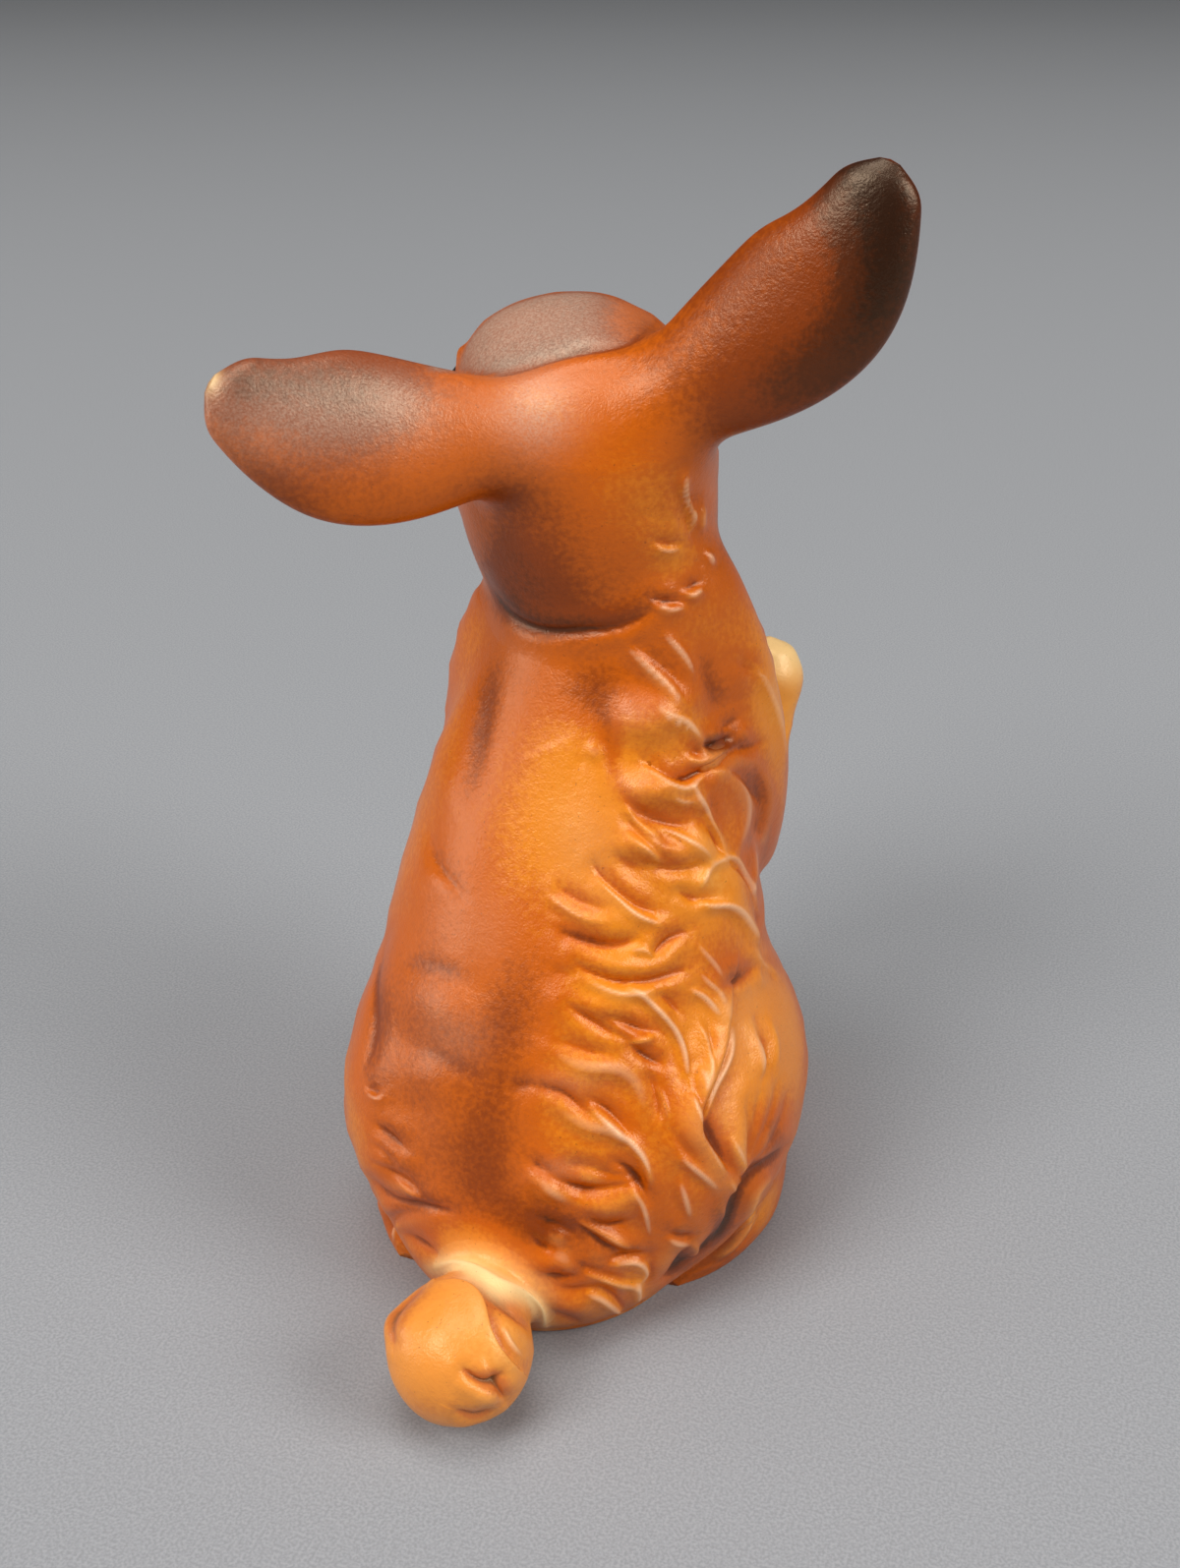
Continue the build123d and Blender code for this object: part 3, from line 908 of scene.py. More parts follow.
def dabs(points, normals, marks):
    """Soft oval dabs over the picture: across, down, half width, half height, amount."""
    places = drawn_at(points)
    amount = np.zeros(points.shape[:-1])
    for across, down, wide, high, strength in marks:
        k = np.hypot((places[..., 0] - across) / wide, (places[..., 1] - down) / high)
        amount = amount + strength * hump(k, 1.0)
    return amount * faced(points, normals)


# Browner where the amount is above zero, lighter where it is below
# The browner dabs under the neck and in the creases of the shoulder, haunch and foot are painted
# shade, and many lighter dabs are painted light and highlights on the nape, crown, flank, arm,
# foot, rump and above the tail.
paint_and_light_dabs = [
    (610, 690, 110, 40, 0.12),
    (620, 900, 60, 90, -0.10),
    (560, 820, 30, 70, -0.06),
    (600, 1100, 60, 90, -0.05),
    (690, 1260, 40, 40, 0.10),
    (742, 990, 22, 30, 0.20),
    (550, 610, 60, 30, 0.12),
    (516, 560, 26, 46, 0.10),
    (650, 470, 36, 40, 0.04),
    (545, 410, 44, 30, -0.10),
    (868, 165, 40, 40, 0.16),
    (846, 205, 50, 50, 0.14),
    (235, 392, 36, 30, 0.12),
    (455, 436, 50, 40, -0.04),
    (330, 496, 110, 24, 0.02),
    (500, 700, 50, 60, 0.06),
    (600, 690, 40, 40, 0.08),
    (556, 1244, 44, 22, 0.24),
    (780, 1244, 26, 44, -0.16),
    (732, 1238, 14, 34, 0.22),
    (785, 1150, 12, 24, 0.16),
    (797, 720, 26, 80, -0.20),
    (500, 1370, 40, 40, -0.08),
    (620, 1312, 46, 24, -0.10),
    (640, 990, 60, 60, -0.08),
    (612, 738, 18, 40, 0.08),
    (744, 690, 22, 34, 0.10),
    (724, 757, 16, 7, 0.30),
    (780, 275, 120, 100, 0.14),
    (885, 255, 40, 70, 0.08),
    (660, 490, 50, 50, -0.16),
    (770, 1070, 50, 110, -0.12),
    (640, 1150, 60, 60, 0.05),
    (684, 560, 26, 40, -0.14),
    (722, 900, 30, 40, -0.20),
    (600, 712, 30, 26, 0.10),
    (545, 560, 44, 70, 0.12),
    (512, 504, 30, 14, 0.14),
    (600, 800, 60, 90, -0.08),
    (745, 1040, 60, 60, -0.06),
    (262, 396, 60, 30, 0.06),
    (440, 960, 30, 120, 0.06),
    (475, 860, 30, 80, 0.05),
    (480, 1262, 34, 26, -0.16),
    (430, 1440, 60, 20, 0.10),
    (500, 1404, 14, 14, 0.20),
    (546, 1352, 20, 34, 0.06),
]
# Airbrushed brown on the ears and along the spine; the band under the neck is a painted shadow.
paint_and_shade_bands = [
    (58, 0.36, 850, 90, 890, 150, 907, 210, 903, 270, 880, 325, 840, 365, 760, 410),
    (36, 0.14, 890, 110, 918, 180, 922, 240, 909, 300, 880, 345, 820, 390),
    (48, 0.26, 232, 398, 270, 386, 320, 390, 375, 400, 440, 416),
    (14, 0.06, 232, 430, 262, 476, 306, 506),
    (52, 0.13, 546, 900, 532, 1000, 510, 1100, 500, 1190, 526, 1250, 590, 1290),
    (34, 0.11, 530, 1000, 508, 1080, 496, 1150, 492, 1210, 506, 1270),
    (60, 0.12, 440, 900, 420, 1000, 424, 1100, 440, 1200),
    (16, 0.08, 500, 650, 494, 700, 486, 750, 478, 800),
    (16, 0.16, 516, 614, 540, 630, 580, 634, 620, 624, 655, 610),
    (26, 0.12, 408, 990, 380, 1070, 384, 1150),
    (18, 0.14, 752, 740, 764, 800, 768, 860, 772, 940),
]
cream_bands = [
    (10, 0.85, 440, 1292, 461, 1286, 488, 1295, 512, 1309, 545, 1328, 555, 1352),
]
# Painted sheen and highlights, in the pale dust colour, on the left ear, the crown, the
# shoulder's locks, the flanks and the haunch.
painted_sheen_dabs = [
    (310, 420, 130, 48, 0.62),
    (400, 404, 34, 26, 0.2),
    (545, 418, 40, 40, 0.7),
    (466, 1052, 32, 30, 0.22),
    (488, 950, 32, 40, 0.16),
    (644, 724, 22, 14, 0.25),
    (646, 795, 18, 12, 0.20),
    (756, 1044, 24, 56, 0.22),
    (738, 1126, 14, 34, 0.18),
    (596, 860, 34, 50, 0.18),
    (572, 1186, 24, 10, 0.20),
    (580, 1100, 34, 12, 0.16),
]
left_ear_tip = (212, 380, 10, 16, 1.0)
forehead_line = [(440, 378), (505, 381), (560, 366), (600, 357), (640, 348), (668, 328)]
forehead_left, forehead_right, forehead_top = 430, 672, 250
right_ear_side = (580, 650)
nose_tip = (0.0, -1.2, 28.5)
body_brown = 0.31
head_browner = 0.13
tail_lighter = 0.12
mottle = 0.03
unseen_browner = 0.06
nose_browner = 0.6
forehead_dust = 0.76


def sprayed(points, normals, bands):
    """Long soft strokes of the airbrush: half width, amount, then the stroke."""
    flat = drawn_at(points).reshape(-1, 2)
    amount = np.zeros(len(flat))
    for band in bands:
        ends = np.reshape(band[2:], (-1, 2))
        inside = np.all(flat > ends.min(0) - 2.5 * band[0], axis=1)
        inside &= np.all(flat < ends.max(0) + 2.5 * band[0], axis=1)
        if inside.any():
            far, along = stroke_distance(flat[inside], band[2:])
            fade = np.sqrt(np.sin(np.pi * (0.06 + 0.88 * along)))
            amount[inside] += band[1] * fade * hump(far, band[0])
    return amount.reshape(points.shape[:-1]) * faced(points, normals)


cream_half_width = 16.0
throat_height = 104.0


def cream_front(points, normals):
    """The pale chest, belly and throat."""
    facing = rise(-normals[..., 1], 0.3, 0.9)
    between = rise(cream_half_width - np.abs(points[..., 0]), 0, 8)
    return 0.75 * facing * between * rise(throat_height - points[..., 2], 0, 12)


def on_forehead(points, normals):
    """1 on the crown in front of the line between the ears, and 0 behind it."""
    across, down = np.moveaxis(drawn_at(points), -1, 0)
    brink = np.interp(across, *np.transpose(forehead_line))
    beyond = rise(brink - down, -3, 7) * rise(down - forehead_top, 0, 12)
    between = rise(across - forehead_left, 0, 16) * rise(forehead_right - across, 0, 12)
    crown = rise(((points - head_middle) @ face_axes.T)[..., 1], 4, 12)
    return beyond * between * crown * faced(points, normals)


def painted(points, normals, carving, base=0.0, cream=0.0):
    """The airbrushed layers of a piece, from 0 to 1: brown over the light glaze, which holds
    painted shade and painted light among its dabs and bands, cream, and the pale layer of
    forehead dust and painted sheen, with the layers of its carving. The head is browner than the
    body, the tail lighter, and the forehead in front of the ears the brownest."""
    x, y, z = (points[..., axis] for axis in range(3))
    face = (points - head_middle) @ face_axes.T
    above_body = rise(z, 86, 92)
    by_right_ear = rise(drawn_at(points)[..., 0], *right_ear_side)
    forehead = on_forehead(points, normals)
    off_tail = rise(np.linalg.norm(points - tail_centre, axis=-1), 10, 17)
    nose = hump(np.linalg.norm(face - nose_tip, axis=-1), 3.0) * above_body
    brown = body_brown + head_browner * rise(z, 82, 100) + base
    brown -= tail_lighter * (1 - off_tail)
    brown += mottle * np.sin(0.21 * x + 0.13 * z) * np.sin(0.17 * y + 0.19 * z + 0.8)
    brown += unseen_browner * (1 - faced(points, normals))
    # The dabs and bands add painted shade and painted light to the airbrushed brown.
    brown += dabs(points, normals, paint_and_light_dabs) + sprayed(points, normals, paint_and_shade_bands)
    brown += forehead * (0.24 - 0.28 * by_right_ear) + nose_browner * nose
    collar = hump(np.hypot(body_gap(points), tail_gap(points)), 2.2) * rise(y, 22, 26)
    chin = rise(-face[..., 1], 3, 10) * rise(face[..., 2], 4, 14) * above_body
    muzzle = rise(face[..., 2], 18, 25) * above_body
    pale = (0.8 * np.maximum(chin, muzzle) + 0.3 * collar) * (1 - nose)
    pale = np.maximum(pale, cream + sprayed(points, normals, cream_bands))
    pale = np.maximum(pale, cream_front(points, normals))
    pale = np.maximum(pale, dabs(points, normals, [left_ear_tip]))
    # Dust on the forehead, with painted sheen and highlights from the sheen dabs.
    dust_and_sheen = forehead_dust * forehead * (1 - 0.75 * by_right_ear)
    dust_and_sheen = dust_and_sheen + dabs(points, normals, painted_sheen_dabs)
    return {"brown": brown, "cream": pale, "dust_and_sheen": dust_and_sheen, **carving}


# Materials


def srgb(red, green, blue):
    """A colour as the shaders take it, from the levels that a painter reads off."""
    levels = np.array([red, green, blue]) / 255
    linear = np.where(levels <= 0.04045, levels / 12.92, ((levels + 0.055) / 1.055) ** 2.4)
    return (*linear.tolist(), 1.0)


glaze_colours = [
    (0.00, srgb(242, 158, 60)),
    (0.20, srgb(230, 132, 24)),
    (0.40, srgb(200, 92, 3)),
    (0.62, srgb(136, 54, 1)),
    (0.82, srgb(80, 30, 1)),
    (1.00, srgb(42, 16, 3)),
]
thin_glaze = srgb(250, 176, 96)
# Bare clay on the crests, which is also a painted highlight
bare_crest_and_highlight = srgb(255, 214, 178)
cream_slip = srgb(252, 216, 150)
iron_speck = srgb(92, 44, 18)
# Pale dust, which is also the colour of painted sheen
pale_dust_and_sheen = srgb(214, 186, 162)
warm_gleam = (1.0, 0.75, 0.52, 1.0)
eye_colours = [(0.3, srgb(22, 12, 8)), (0.7, srgb(52, 28, 16))]
paper_colours = [(0.3, srgb(140, 141, 143)), (0.7, srgb(158, 159, 161))]
pitting = 0.00007
fine_pitting = 0.00005


class Recipe:
    """A material whose steps are added one after another."""

    def __init__(self, name):
        """Starts with a plain shader and the object's own places."""
        self.material = bpy.data.materials.new(name)
        self.material.use_nodes = True
        self.tree = self.material.node_tree
        self.shader = self.tree.nodes["Principled BSDF"]
        self.places = self.step("ShaderNodeTexCoord").outputs["Object"]

    def step(self, kind, settings=(), **inputs):
        """Adds a step; an input is a value or another step's output."""
        node = self.tree.nodes.new(kind)
        for setting, value in dict(settings).items():
            setattr(node, setting, value)
        for name, value in inputs.items():
            self.give(node, name.replace("_", " "), value)
        return node

    def give(self, node, name, value):
        """Sets or links one input of a step."""
        socket = node.inputs[int(name[1:])] if name[0] == "#" else node.inputs[name]
        if isinstance(value, bpy.types.NodeSocket):
            self.tree.links.new(value, socket)
        else:
            socket.default_value = value

    def layer(self, name):
        """A painted layer of the mesh."""
        return self.step("ShaderNodeAttribute", {"attribute_name": name}).outputs["Fac"]

    def grain(self, scale, detail=3.0):
        """A cloudy grain in the object's own place, with a scale in lumps per metre."""
        places = {"Vector": self.places, "Scale": scale, "Detail": detail}
        return self.step("ShaderNodeTexNoise", **places).outputs["Fac"]

    def fitted(self, value, low, high, new_low, new_high):
        """The value carried from one range to another, and kept in it."""
        ends = {"From_Min": low, "From_Max": high, "To_Min": new_low, "To_Max": new_high}
        return self.step("ShaderNodeMapRange", Value=value, **ends).outputs["Result"]

    def sums(self, operation, first, second):
        """One sum on two values."""
        node = self.step("ShaderNodeMath", {"operation": operation})
        self.give(node, "#0", first)
        self.give(node, "#1", second)
        return node.outputs[0]

    def ramp(self, value, stops):
        """Colours along a value."""
        node = self.step("ShaderNodeValToRGB", Fac=value)
        node.color_ramp.interpolation = "EASE"
        for _ in range(len(stops) - 2):
            node.color_ramp.elements.new(0.5)
        for element, (place, colour) in zip(node.color_ramp.elements, stops):
            element.position = place
            element.color = colour
        return node.outputs["Color"]

    def mixed(self, amount, first, second):
        """One colour over another."""
        node = self.step("ShaderNodeMix", {"data_type": "RGBA"})
        self.give(node, "#0", amount)
        self.give(node, "#6", first)
        self.give(node, "#7", second)
        return node.outputs[2]

    def bumps(self, height, distance, under=None):
        """Small relief over what is under it."""
        node = self.step("ShaderNodeBump", Height=height, Distance=distance, Strength=1.0)
        if under is not None:
            self.tree.links.new(under, node.inputs["Normal"])
        return node.outputs["Normal"]

    def finish(self, **inputs):
        """Sets the shader's own inputs."""
        for name, value in inputs.items():
            self.give(self.shader, name.replace("_", " "), value)
        return self.material


def fired_ceramic():
    """A satin honey glaze under airbrushed brown. Clouds, a fine spatter and the glaze that
    pools in cuts add to the brown, and the pooling is also painted shade in the cuts and under
    the locks. Over it come the thin glaze of high relief, bare crests that are also painted
    highlights, cream slip, iron specks, and dust that is also painted sheen."""
    clay = Recipe("fired_ceramic")
    relief, wear_and_painted_light = clay.layer("relief"), clay.layer("wear_and_painted_light")
    brown = clay.layer("brown")
    # The glaze that pools in cuts and beside grooves is also painted shade.
    for layer, *ends in (
        (clay.grain(60), 0.3, 0.7, -0.05, 0.05),
        (clay.grain(1500, 2.0), 0.35, 0.65, -0.03, 0.03),
        (relief, -0.7, -0.05, 0.30, 0.0),
        (wear_and_painted_light, -0.6, 0.0, 0.15, 0.0),
    ):
        brown = clay.sums("ADD", brown, clay.fitted(layer, *ends))
    dust_and_sheen = clay.fitted(clay.grain(3600, 4.0), 0.36, 0.66, 0.36, 0.72)
    colour = clay.ramp(brown, glaze_colours)
    # Bare crests are also painted highlights, and the pale dust layer is also painted sheen.
    for amount, over in (
        (clay.fitted(relief, 0.35, 1.0, 0.0, 0.3), thin_glaze),
        (clay.fitted(wear_and_painted_light, 0.1, 0.8, 0.0, 0.72), bare_crest_and_highlight),
        (clay.layer("cream"), cream_slip),
        (clay.fitted(clay.grain(2400, 1.0), 0.72, 0.78, 0.0, 0.4), iron_speck),
        (clay.sums("MULTIPLY", dust_and_sheen, clay.layer("dust_and_sheen")), pale_dust_and_sheen),
    ):
        colour = clay.mixed(amount, colour, over)
    skin = clay.bumps(clay.grain(900, 4.0), pitting)
    skin = clay.bumps(clay.grain(3400, 2.0), fine_pitting, skin)
    return clay.finish(
        Base_Color=colour,
        Roughness=clay.fitted(clay.grain(120), 0.3, 0.7, 0.31, 0.37),
        Normal=skin,
        Specular_IOR_Level=0.65,
        Specular_Tint=warm_gleam,
    )


def dark_glaze():
    """Nearly black glaze on the eyes, with a brown depth."""
    glass = Recipe("dark_glaze")
    return glass.finish(
        Base_Color=glass.ramp(glass.grain(260), eye_colours),
        Roughness=glass.fitted(glass.grain(700), 0.3, 0.7, 0.08, 0.16),
        Coat_Weight=0.6,
        Coat_Roughness=0.05,
    )


ceramic = fired_ceramic()
eye_glaze = dark_glaze()


# Body

body_rows, dome_rows, body_columns = 240, 46, 330
carved_side, crowding = 124.0, 0.64
foot_edge = 1.0
foot_edge_rows = 4
shoulder_height = 80.0
axis_lean = np.array([-1.2, -12.3]) / 96
vent_depth = 4.0
vent_chamfer = 0.3
spine_line = [(560, 700), (562, 800), (556, 900), (528, 1010), (512, 1110), (500, 1260)]
furrow_top, furrow_bottom = 690, 1290
furrow_depth, furrow_width = 0.35, 34
ridge_height, ridge_width, ridge_offset = 0.2, 36, 70
fur_size = 1.5
body_fur, head_fur, foot_fur, tail_fur = 0.3, 0.2, 0.15, 0.2


def body_grid():
    """The body from its resting face, with a rounded edge and an air vent, to the dome
    under the head.

    Level rays from a leaning axis find the skin up to the shoulders; above them the
    rays fan out from the axis's top, so that the shoulders close over."""
    level = ring_directions(round_angles(body_columns, carved_side, crowding))
    heights = np.linspace(foot_edge, shoulder_height, body_rows)
    axis = np.zeros((body_rows, 1, 3))
    axis[:, 0, 0] = heights * axis_lean[0]
    axis[:, 0, 1] = vent_place[1] + heights * axis_lean[1]
    axis[:, 0, 2] = heights
    sides = reach(axis, level[None] + 0 * axis, body_gap)
    lift = np.linspace(0, np.pi / 2, dome_rows + 1)[1:, None, None]
    fan = level * np.cos(lift) + level_axes[2] * np.sin(lift)
    dome = reach(axis[-1:], fan, body_gap)
    top = dome[-1].mean(axis=0)
    outline = sides[0]
    inward = unit(outline - axis[0]) * np.array([1, 1, 0])
    turn = np.linspace(0, np.pi / 2, foot_edge_rows + 1)[:-1, None, None]
    edge = outline - inward * foot_edge * (1 - np.sin(turn))
    edge[..., 2] = foot_edge * (1 - np.cos(turn[..., 0]))
    vent = np.array([*vent_place, 0.0])
    radii = np.array([vent_radius, vent_radius, vent_radius + vent_chamfer])
    hole = vent + level * radii[:, None, None]
    hole[..., 2] = np.array([vent_depth, vent_chamfer, 0.0])[:, None]
    share = np.array([0.25, 0.5, 0.75])[:, None, None]
    floor = hole[-1] + (edge[0] - hole[-1]) * share
    grid = np.concatenate([hole, floor, edge, sides, dome[:-1]])
    return grid, (vent + level_axes[2] * vent_depth, top)


def shaped(points, normals, fur):
    """Strokes, mounds and the spine's furrow where the eye sees them, and soft fur of
    the given height elsewhere. Returns the moved skin and the layers that go with it."""
    shown = faced(points, normals)
    across, down = np.moveaxis(drawn_at(points), -1, 0)
    middle = np.interp(down, *np.transpose(spine_line)[::-1])
    furrow = rise(down - furrow_top, 0, 130) * rise(furrow_bottom - down, 0, 90) * shown
    form = dabs(points, normals, mounds)
    form -= furrow_depth * furrow * hump(across - middle, furrow_width)
    form += ridge_height * furrow * hump(across - middle + ridge_offset, ridge_width)
    height, wear_and_painted_light = carved(points, normals)
    height = height + fur * (1 - shown) * soft_fur(points, fur_size)
    height *= rise(points[..., 2], 0.5, 4)
    skin = points + normals * (height + form)[..., None]
    return skin, {"relief": height, "wear_and_painted_light": wear_and_painted_light}


def body_piece():
    """The body: torso, haunches and upper arms."""
    grid, ends = body_grid()
    normals = grid_normals(grid, ends)
    skin, carving = shaped(grid, normals, body_fur * rise(grid[..., 2], 3, 12))
    layers = painted(grid, normals, carving)
    piece = make_piece("body_skin", skin, ends, layers, ceramic)
    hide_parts("body")


# Head

head_rows, head_columns = 236, 330
nape_foot = np.array([-1.9, -3.0, 85.0])
neck_fillet, neck_fillet_gain, neck_fillet_loss = 2.4, 4.0, 3.4
socket_place = (14.9, 3.6, 9.0)
socket_radius, socket_depth = 3.7, 0.9
lid_radius, lid_width, lid_height = 4.3, 0.9, 0.55
nostril_place = (1.1, -1.9)
nostril_width, nostril_depth = 0.5, 0.6
lip_line, mouth_line, mouth_half_length = 3.6, 9.4, 6.5
mouth_width, mouth_depth = 0.5, 0.7


def face_height(q, shown):
    """Lids and sockets, nostrils, the cut of the upper lip and the mouth, for places
    across, up and ahead."""
    x, y, z = np.abs(q[..., 0]), q[..., 1], q[..., 2]
    eye_far = np.linalg.norm(np.stack([x, y, z], -1) - socket_place, axis=-1)
    height = lid_height * hump(eye_far - lid_radius, lid_width)
    height -= socket_depth * rise(socket_radius - eye_far, 0, 0.7)
    nostril = hump(np.hypot(x - nostril_place[0], y - nostril_place[1]), nostril_width)
    height -= nostril_depth * nostril * rise(z, 25, 27)
    lip = rise(-y, lip_line - 0.8, lip_line) * rise(y, -0.2 - mouth_line, 0.6 - mouth_line)
    height -= mouth_depth * hump(x, 0.45) * lip * rise(z, 20, 24)
    mouth = hump(y + mouth_line - 0.16 * x, mouth_width) * rise(mouth_half_length - x, 0, 2)
    height -= mouth_depth * mouth * rise(z, 14, 19)
    return height * (1 - shown)


def head_piece():
    """The head with its nape, whose fillet to the body is broadest where the picture
    shows it right of its middle."""
    nape_run = head_middle - nape_foot
    rays = ball_rays(head_rows, head_columns, nape_run)
    rightward = rays @ eye_right
    soft = neck_fillet + neck_fillet_gain * rise(rightward, -0.15, 0.45)
    soft = soft - neck_fillet_loss * rise(rightward, 0.7, 0.95)
    grid = reach_into(head_middle, rays, head_gap, body_gap, soft)
    ends = [reach(head_middle, side * unit(nape_run), head_gap) for side in (-1, 1)]
    normals = grid_normals(grid, ends)
    q = (grid - head_middle) @ face_axes.T
    fur = rise(q[..., 2], -4, 4) * rise(22 - q[..., 2], 0, 8) * rise(grid[..., 2], 86, 92)
    skin, carving = shaped(grid, normals, head_fur * fur)
    lines = face_height(q, faced(grid, normals))
    skin = skin + normals * lines[..., None]
    carving["relief"] = carving["relief"] + lines
    layers = painted(grid, normals, carving)
    piece = make_piece("head_skin", skin, ends, layers, ceramic)
    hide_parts("head")


eye_rows, eye_columns = 28, 48


def eye_piece(side):
    """One eye: a ball, whose poles lie fore and aft."""
    centre = on_head((side * eye_place[0], eye_place[1], eye_place[2]))
    rays = ball_rays(eye_rows, eye_columns, (0, 0, 1))
    grid = centre + (rays * eye_radius) @ face_axes
    ends = [centre + end * eye_radius * face_forward for end in (-1, 1)]
    name = "left_eye" if side > 0 else "right_eye"
    piece = make_piece(name, grid, ends, {}, eye_glaze)


# Limbs, each a section carried along a smooth line

limb_tip = 0.2


def limb_frames(line, lead, facing, halves, shares, places):
    """A limb's sections: centre, across, towards, half width, half thickness, and the
    share of the line outside the lead, which takes it on into the host."""
    at = line_through([lead, *line])
    steps = np.linalg.norm(np.diff(np.array([lead, *line]), axis=0), axis=1)
    inner = steps[0] / steps.sum()
    outer = (places - inner) / (1 - inner)
    wide, thick = curve(shares)(outer)
    centre = at(places)
    tangent = unit(at(np.minimum(places + 0.01, 1)) - at(np.maximum(places - 0.01, 0)))
    facing = np.array(facing, float)
    towards = unit(facing - tangent * (tangent @ facing)[:, None])
    across = np.cross(towards, tangent)
    return centre, across, towards, wide * halves[0], thick * halves[1], outer


def limb_gap(points, frames):
    """Outside a limb: its ellipse at the nearest place along its line."""
    centre, across, towards, wide, thick, _ = frames
    start, run = centre[:-1], np.diff(centre, axis=0)
    offset = points[..., None, :] - start
    share = np.clip(np.sum(offset * run, -1) / np.sum(run * run, -1), 0, 1)
    far = np.linalg.norm(offset - share[..., None] * run, axis=-1)
    nearest = np.argmin(far, axis=-1)
    share = np.take_along_axis(share, nearest[..., None], -1)

    def here(table):
        """A row of numbers along the limb, at the nearest place."""
        return table[nearest] + (table[nearest + 1] - table[nearest]) * share

    away = points - here(centre)
    x = np.sum(away * unit(here(across)), -1)
    y = np.sum(away * unit(here(towards)), -1)
    return stack_gap(x, y, here(wide[:, None])[..., 0], here(thick[:, None])[..., 0])


def limb(line, lead, facing, halves, shares, places, columns, profile, host, soft):
    """A limb's grid: at each place along its line, a closed section across it.

    The profile gives the section's offsets across and towards for a width and a
    thickness. Near the host each offset is lengthened until the limb runs into it
    with a fillet."""
    centre, across, towards, wide, thick, outer = limb_frames(
        line, lead, facing, halves, shares, places
    )
    angles, outer = round_angles(columns)[None], outer[:, None]
    x, y = profile(angles, outer, wide[:, None], thick[:, None])
    offset = across[:, None] * x[..., None] + towards[:, None] * y[..., None]
    grid = lengthened(centre[:, None], offset, host, soft)
    end = centre[-1] + unit(centre[-1] - centre[-2]) * limb_tip
    return grid, (centre[0], end), outer


def oval(angles, places, wide, thick):
    """An ellipse."""
    return wide * np.cos(angles), thick * np.sin(angles)


ear_rim = 0.9
scoop_width_share, scoop_floor_share = 0.76, -0.36
ear_rows, ear_columns = 190, 160
ear_halves = (ear_half_width, ear_half_thickness)
right_ear_fillet = 6.0
left_ear_fillet = 5.0
scoop_browner, scoop_cream = 0.12, 0.55
left_ear_lead = (0.5, -1.5, 110.8)
right_ear_frames = limb_frames(
    right_ear_line, head_centre, right_ear_facing, ear_halves, ear_shares,
    np.linspace(0.1, 0.75, 40),
)


def spoon(angles, places, wide, thick):
    """An ellipse hollowed on the side that it faces, with a rounded rim. The scoop's
    floor climbs with the 2.6th power of the way out to its edge."""
    x = wide * np.cos(angles)
    y = thick * np.sin(angles)
    depth = rise(places, 0.26, 0.46) * rise(0.95 - places, 0, 0.14)
    climb = 1.25 * np.abs(x / (wide * scoop_width_share)) ** 2.6
    floor = thick * (scoop_floor_share + climb + 1.5 * (1 - depth))
    return x, np.where(np.sin(angles) > 0, merged(y, floor, ear_rim), y)


def head_and_right_ear(points):
    """Outside the head with its right ear run into it, which the left ear runs into."""
    right_ear = limb_gap(points, right_ear_frames)
    return merged(head_gap(points), right_ear, right_ear_fillet)


def ear_piece(name, line, lead, facing, node, host, soft):
    """One ear: the spoon's section along its line, paler and browner in the scoop."""
    places = 0.02 + 0.98 * np.sin(np.linspace(0, np.pi / 2, ear_rows))
    grid, ends, outer = limb(
        line, lead, facing, ear_halves, ear_shares, places, ear_columns, spoon, host, soft
    )
    normals = grid_normals(grid, ends)
    inside = rise(np.sin(round_angles(ear_columns))[None], 0.1, 0.7)
    inside = inside * rise(outer, 0.3, 0.42) * rise(0.94 - outer, 0, 0.1)
    skin, carving = shaped(grid, normals, 0.0)
    layers = painted(grid, normals, carving, scoop_browner * inside, scoop_cream * inside)
    piece = make_piece(name, skin, ends, layers, ceramic)
    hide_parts(node)


foreleg_rows, paw_rows, foreleg_columns = 110, 40, 120
elbow_fillet = 1.5
paw_toe_spacing, paw_toe_depth = 2.6, 0.7
paw_length = 8.0
paw_lighter, paw_cream = 0.12, 0.8
foreleg_fur, foreleg_fur_size = 0.18, 1.3


def paw_grooves(grid, normals, line):
    """Cuts between the toes at the end of a foreleg, as a row of bells across it."""
    at = line_through(line)
    end = at(np.array([1.0]))[0]
    run = unit(end - at(np.array([0.85]))[0])
    across = unit(np.cross(run, (0, 1, 0)))
    on_paw = rise((grid - end) @ run + paw_length, 0, 3) * rise(-normals[..., 1], 0.3, 0.7)
    cut = np.abs(np.cos(np.pi * ((grid - end) @ across) / paw_toe_spacing))
    return -paw_toe_depth * hump(cut, 0.34) * on_paw


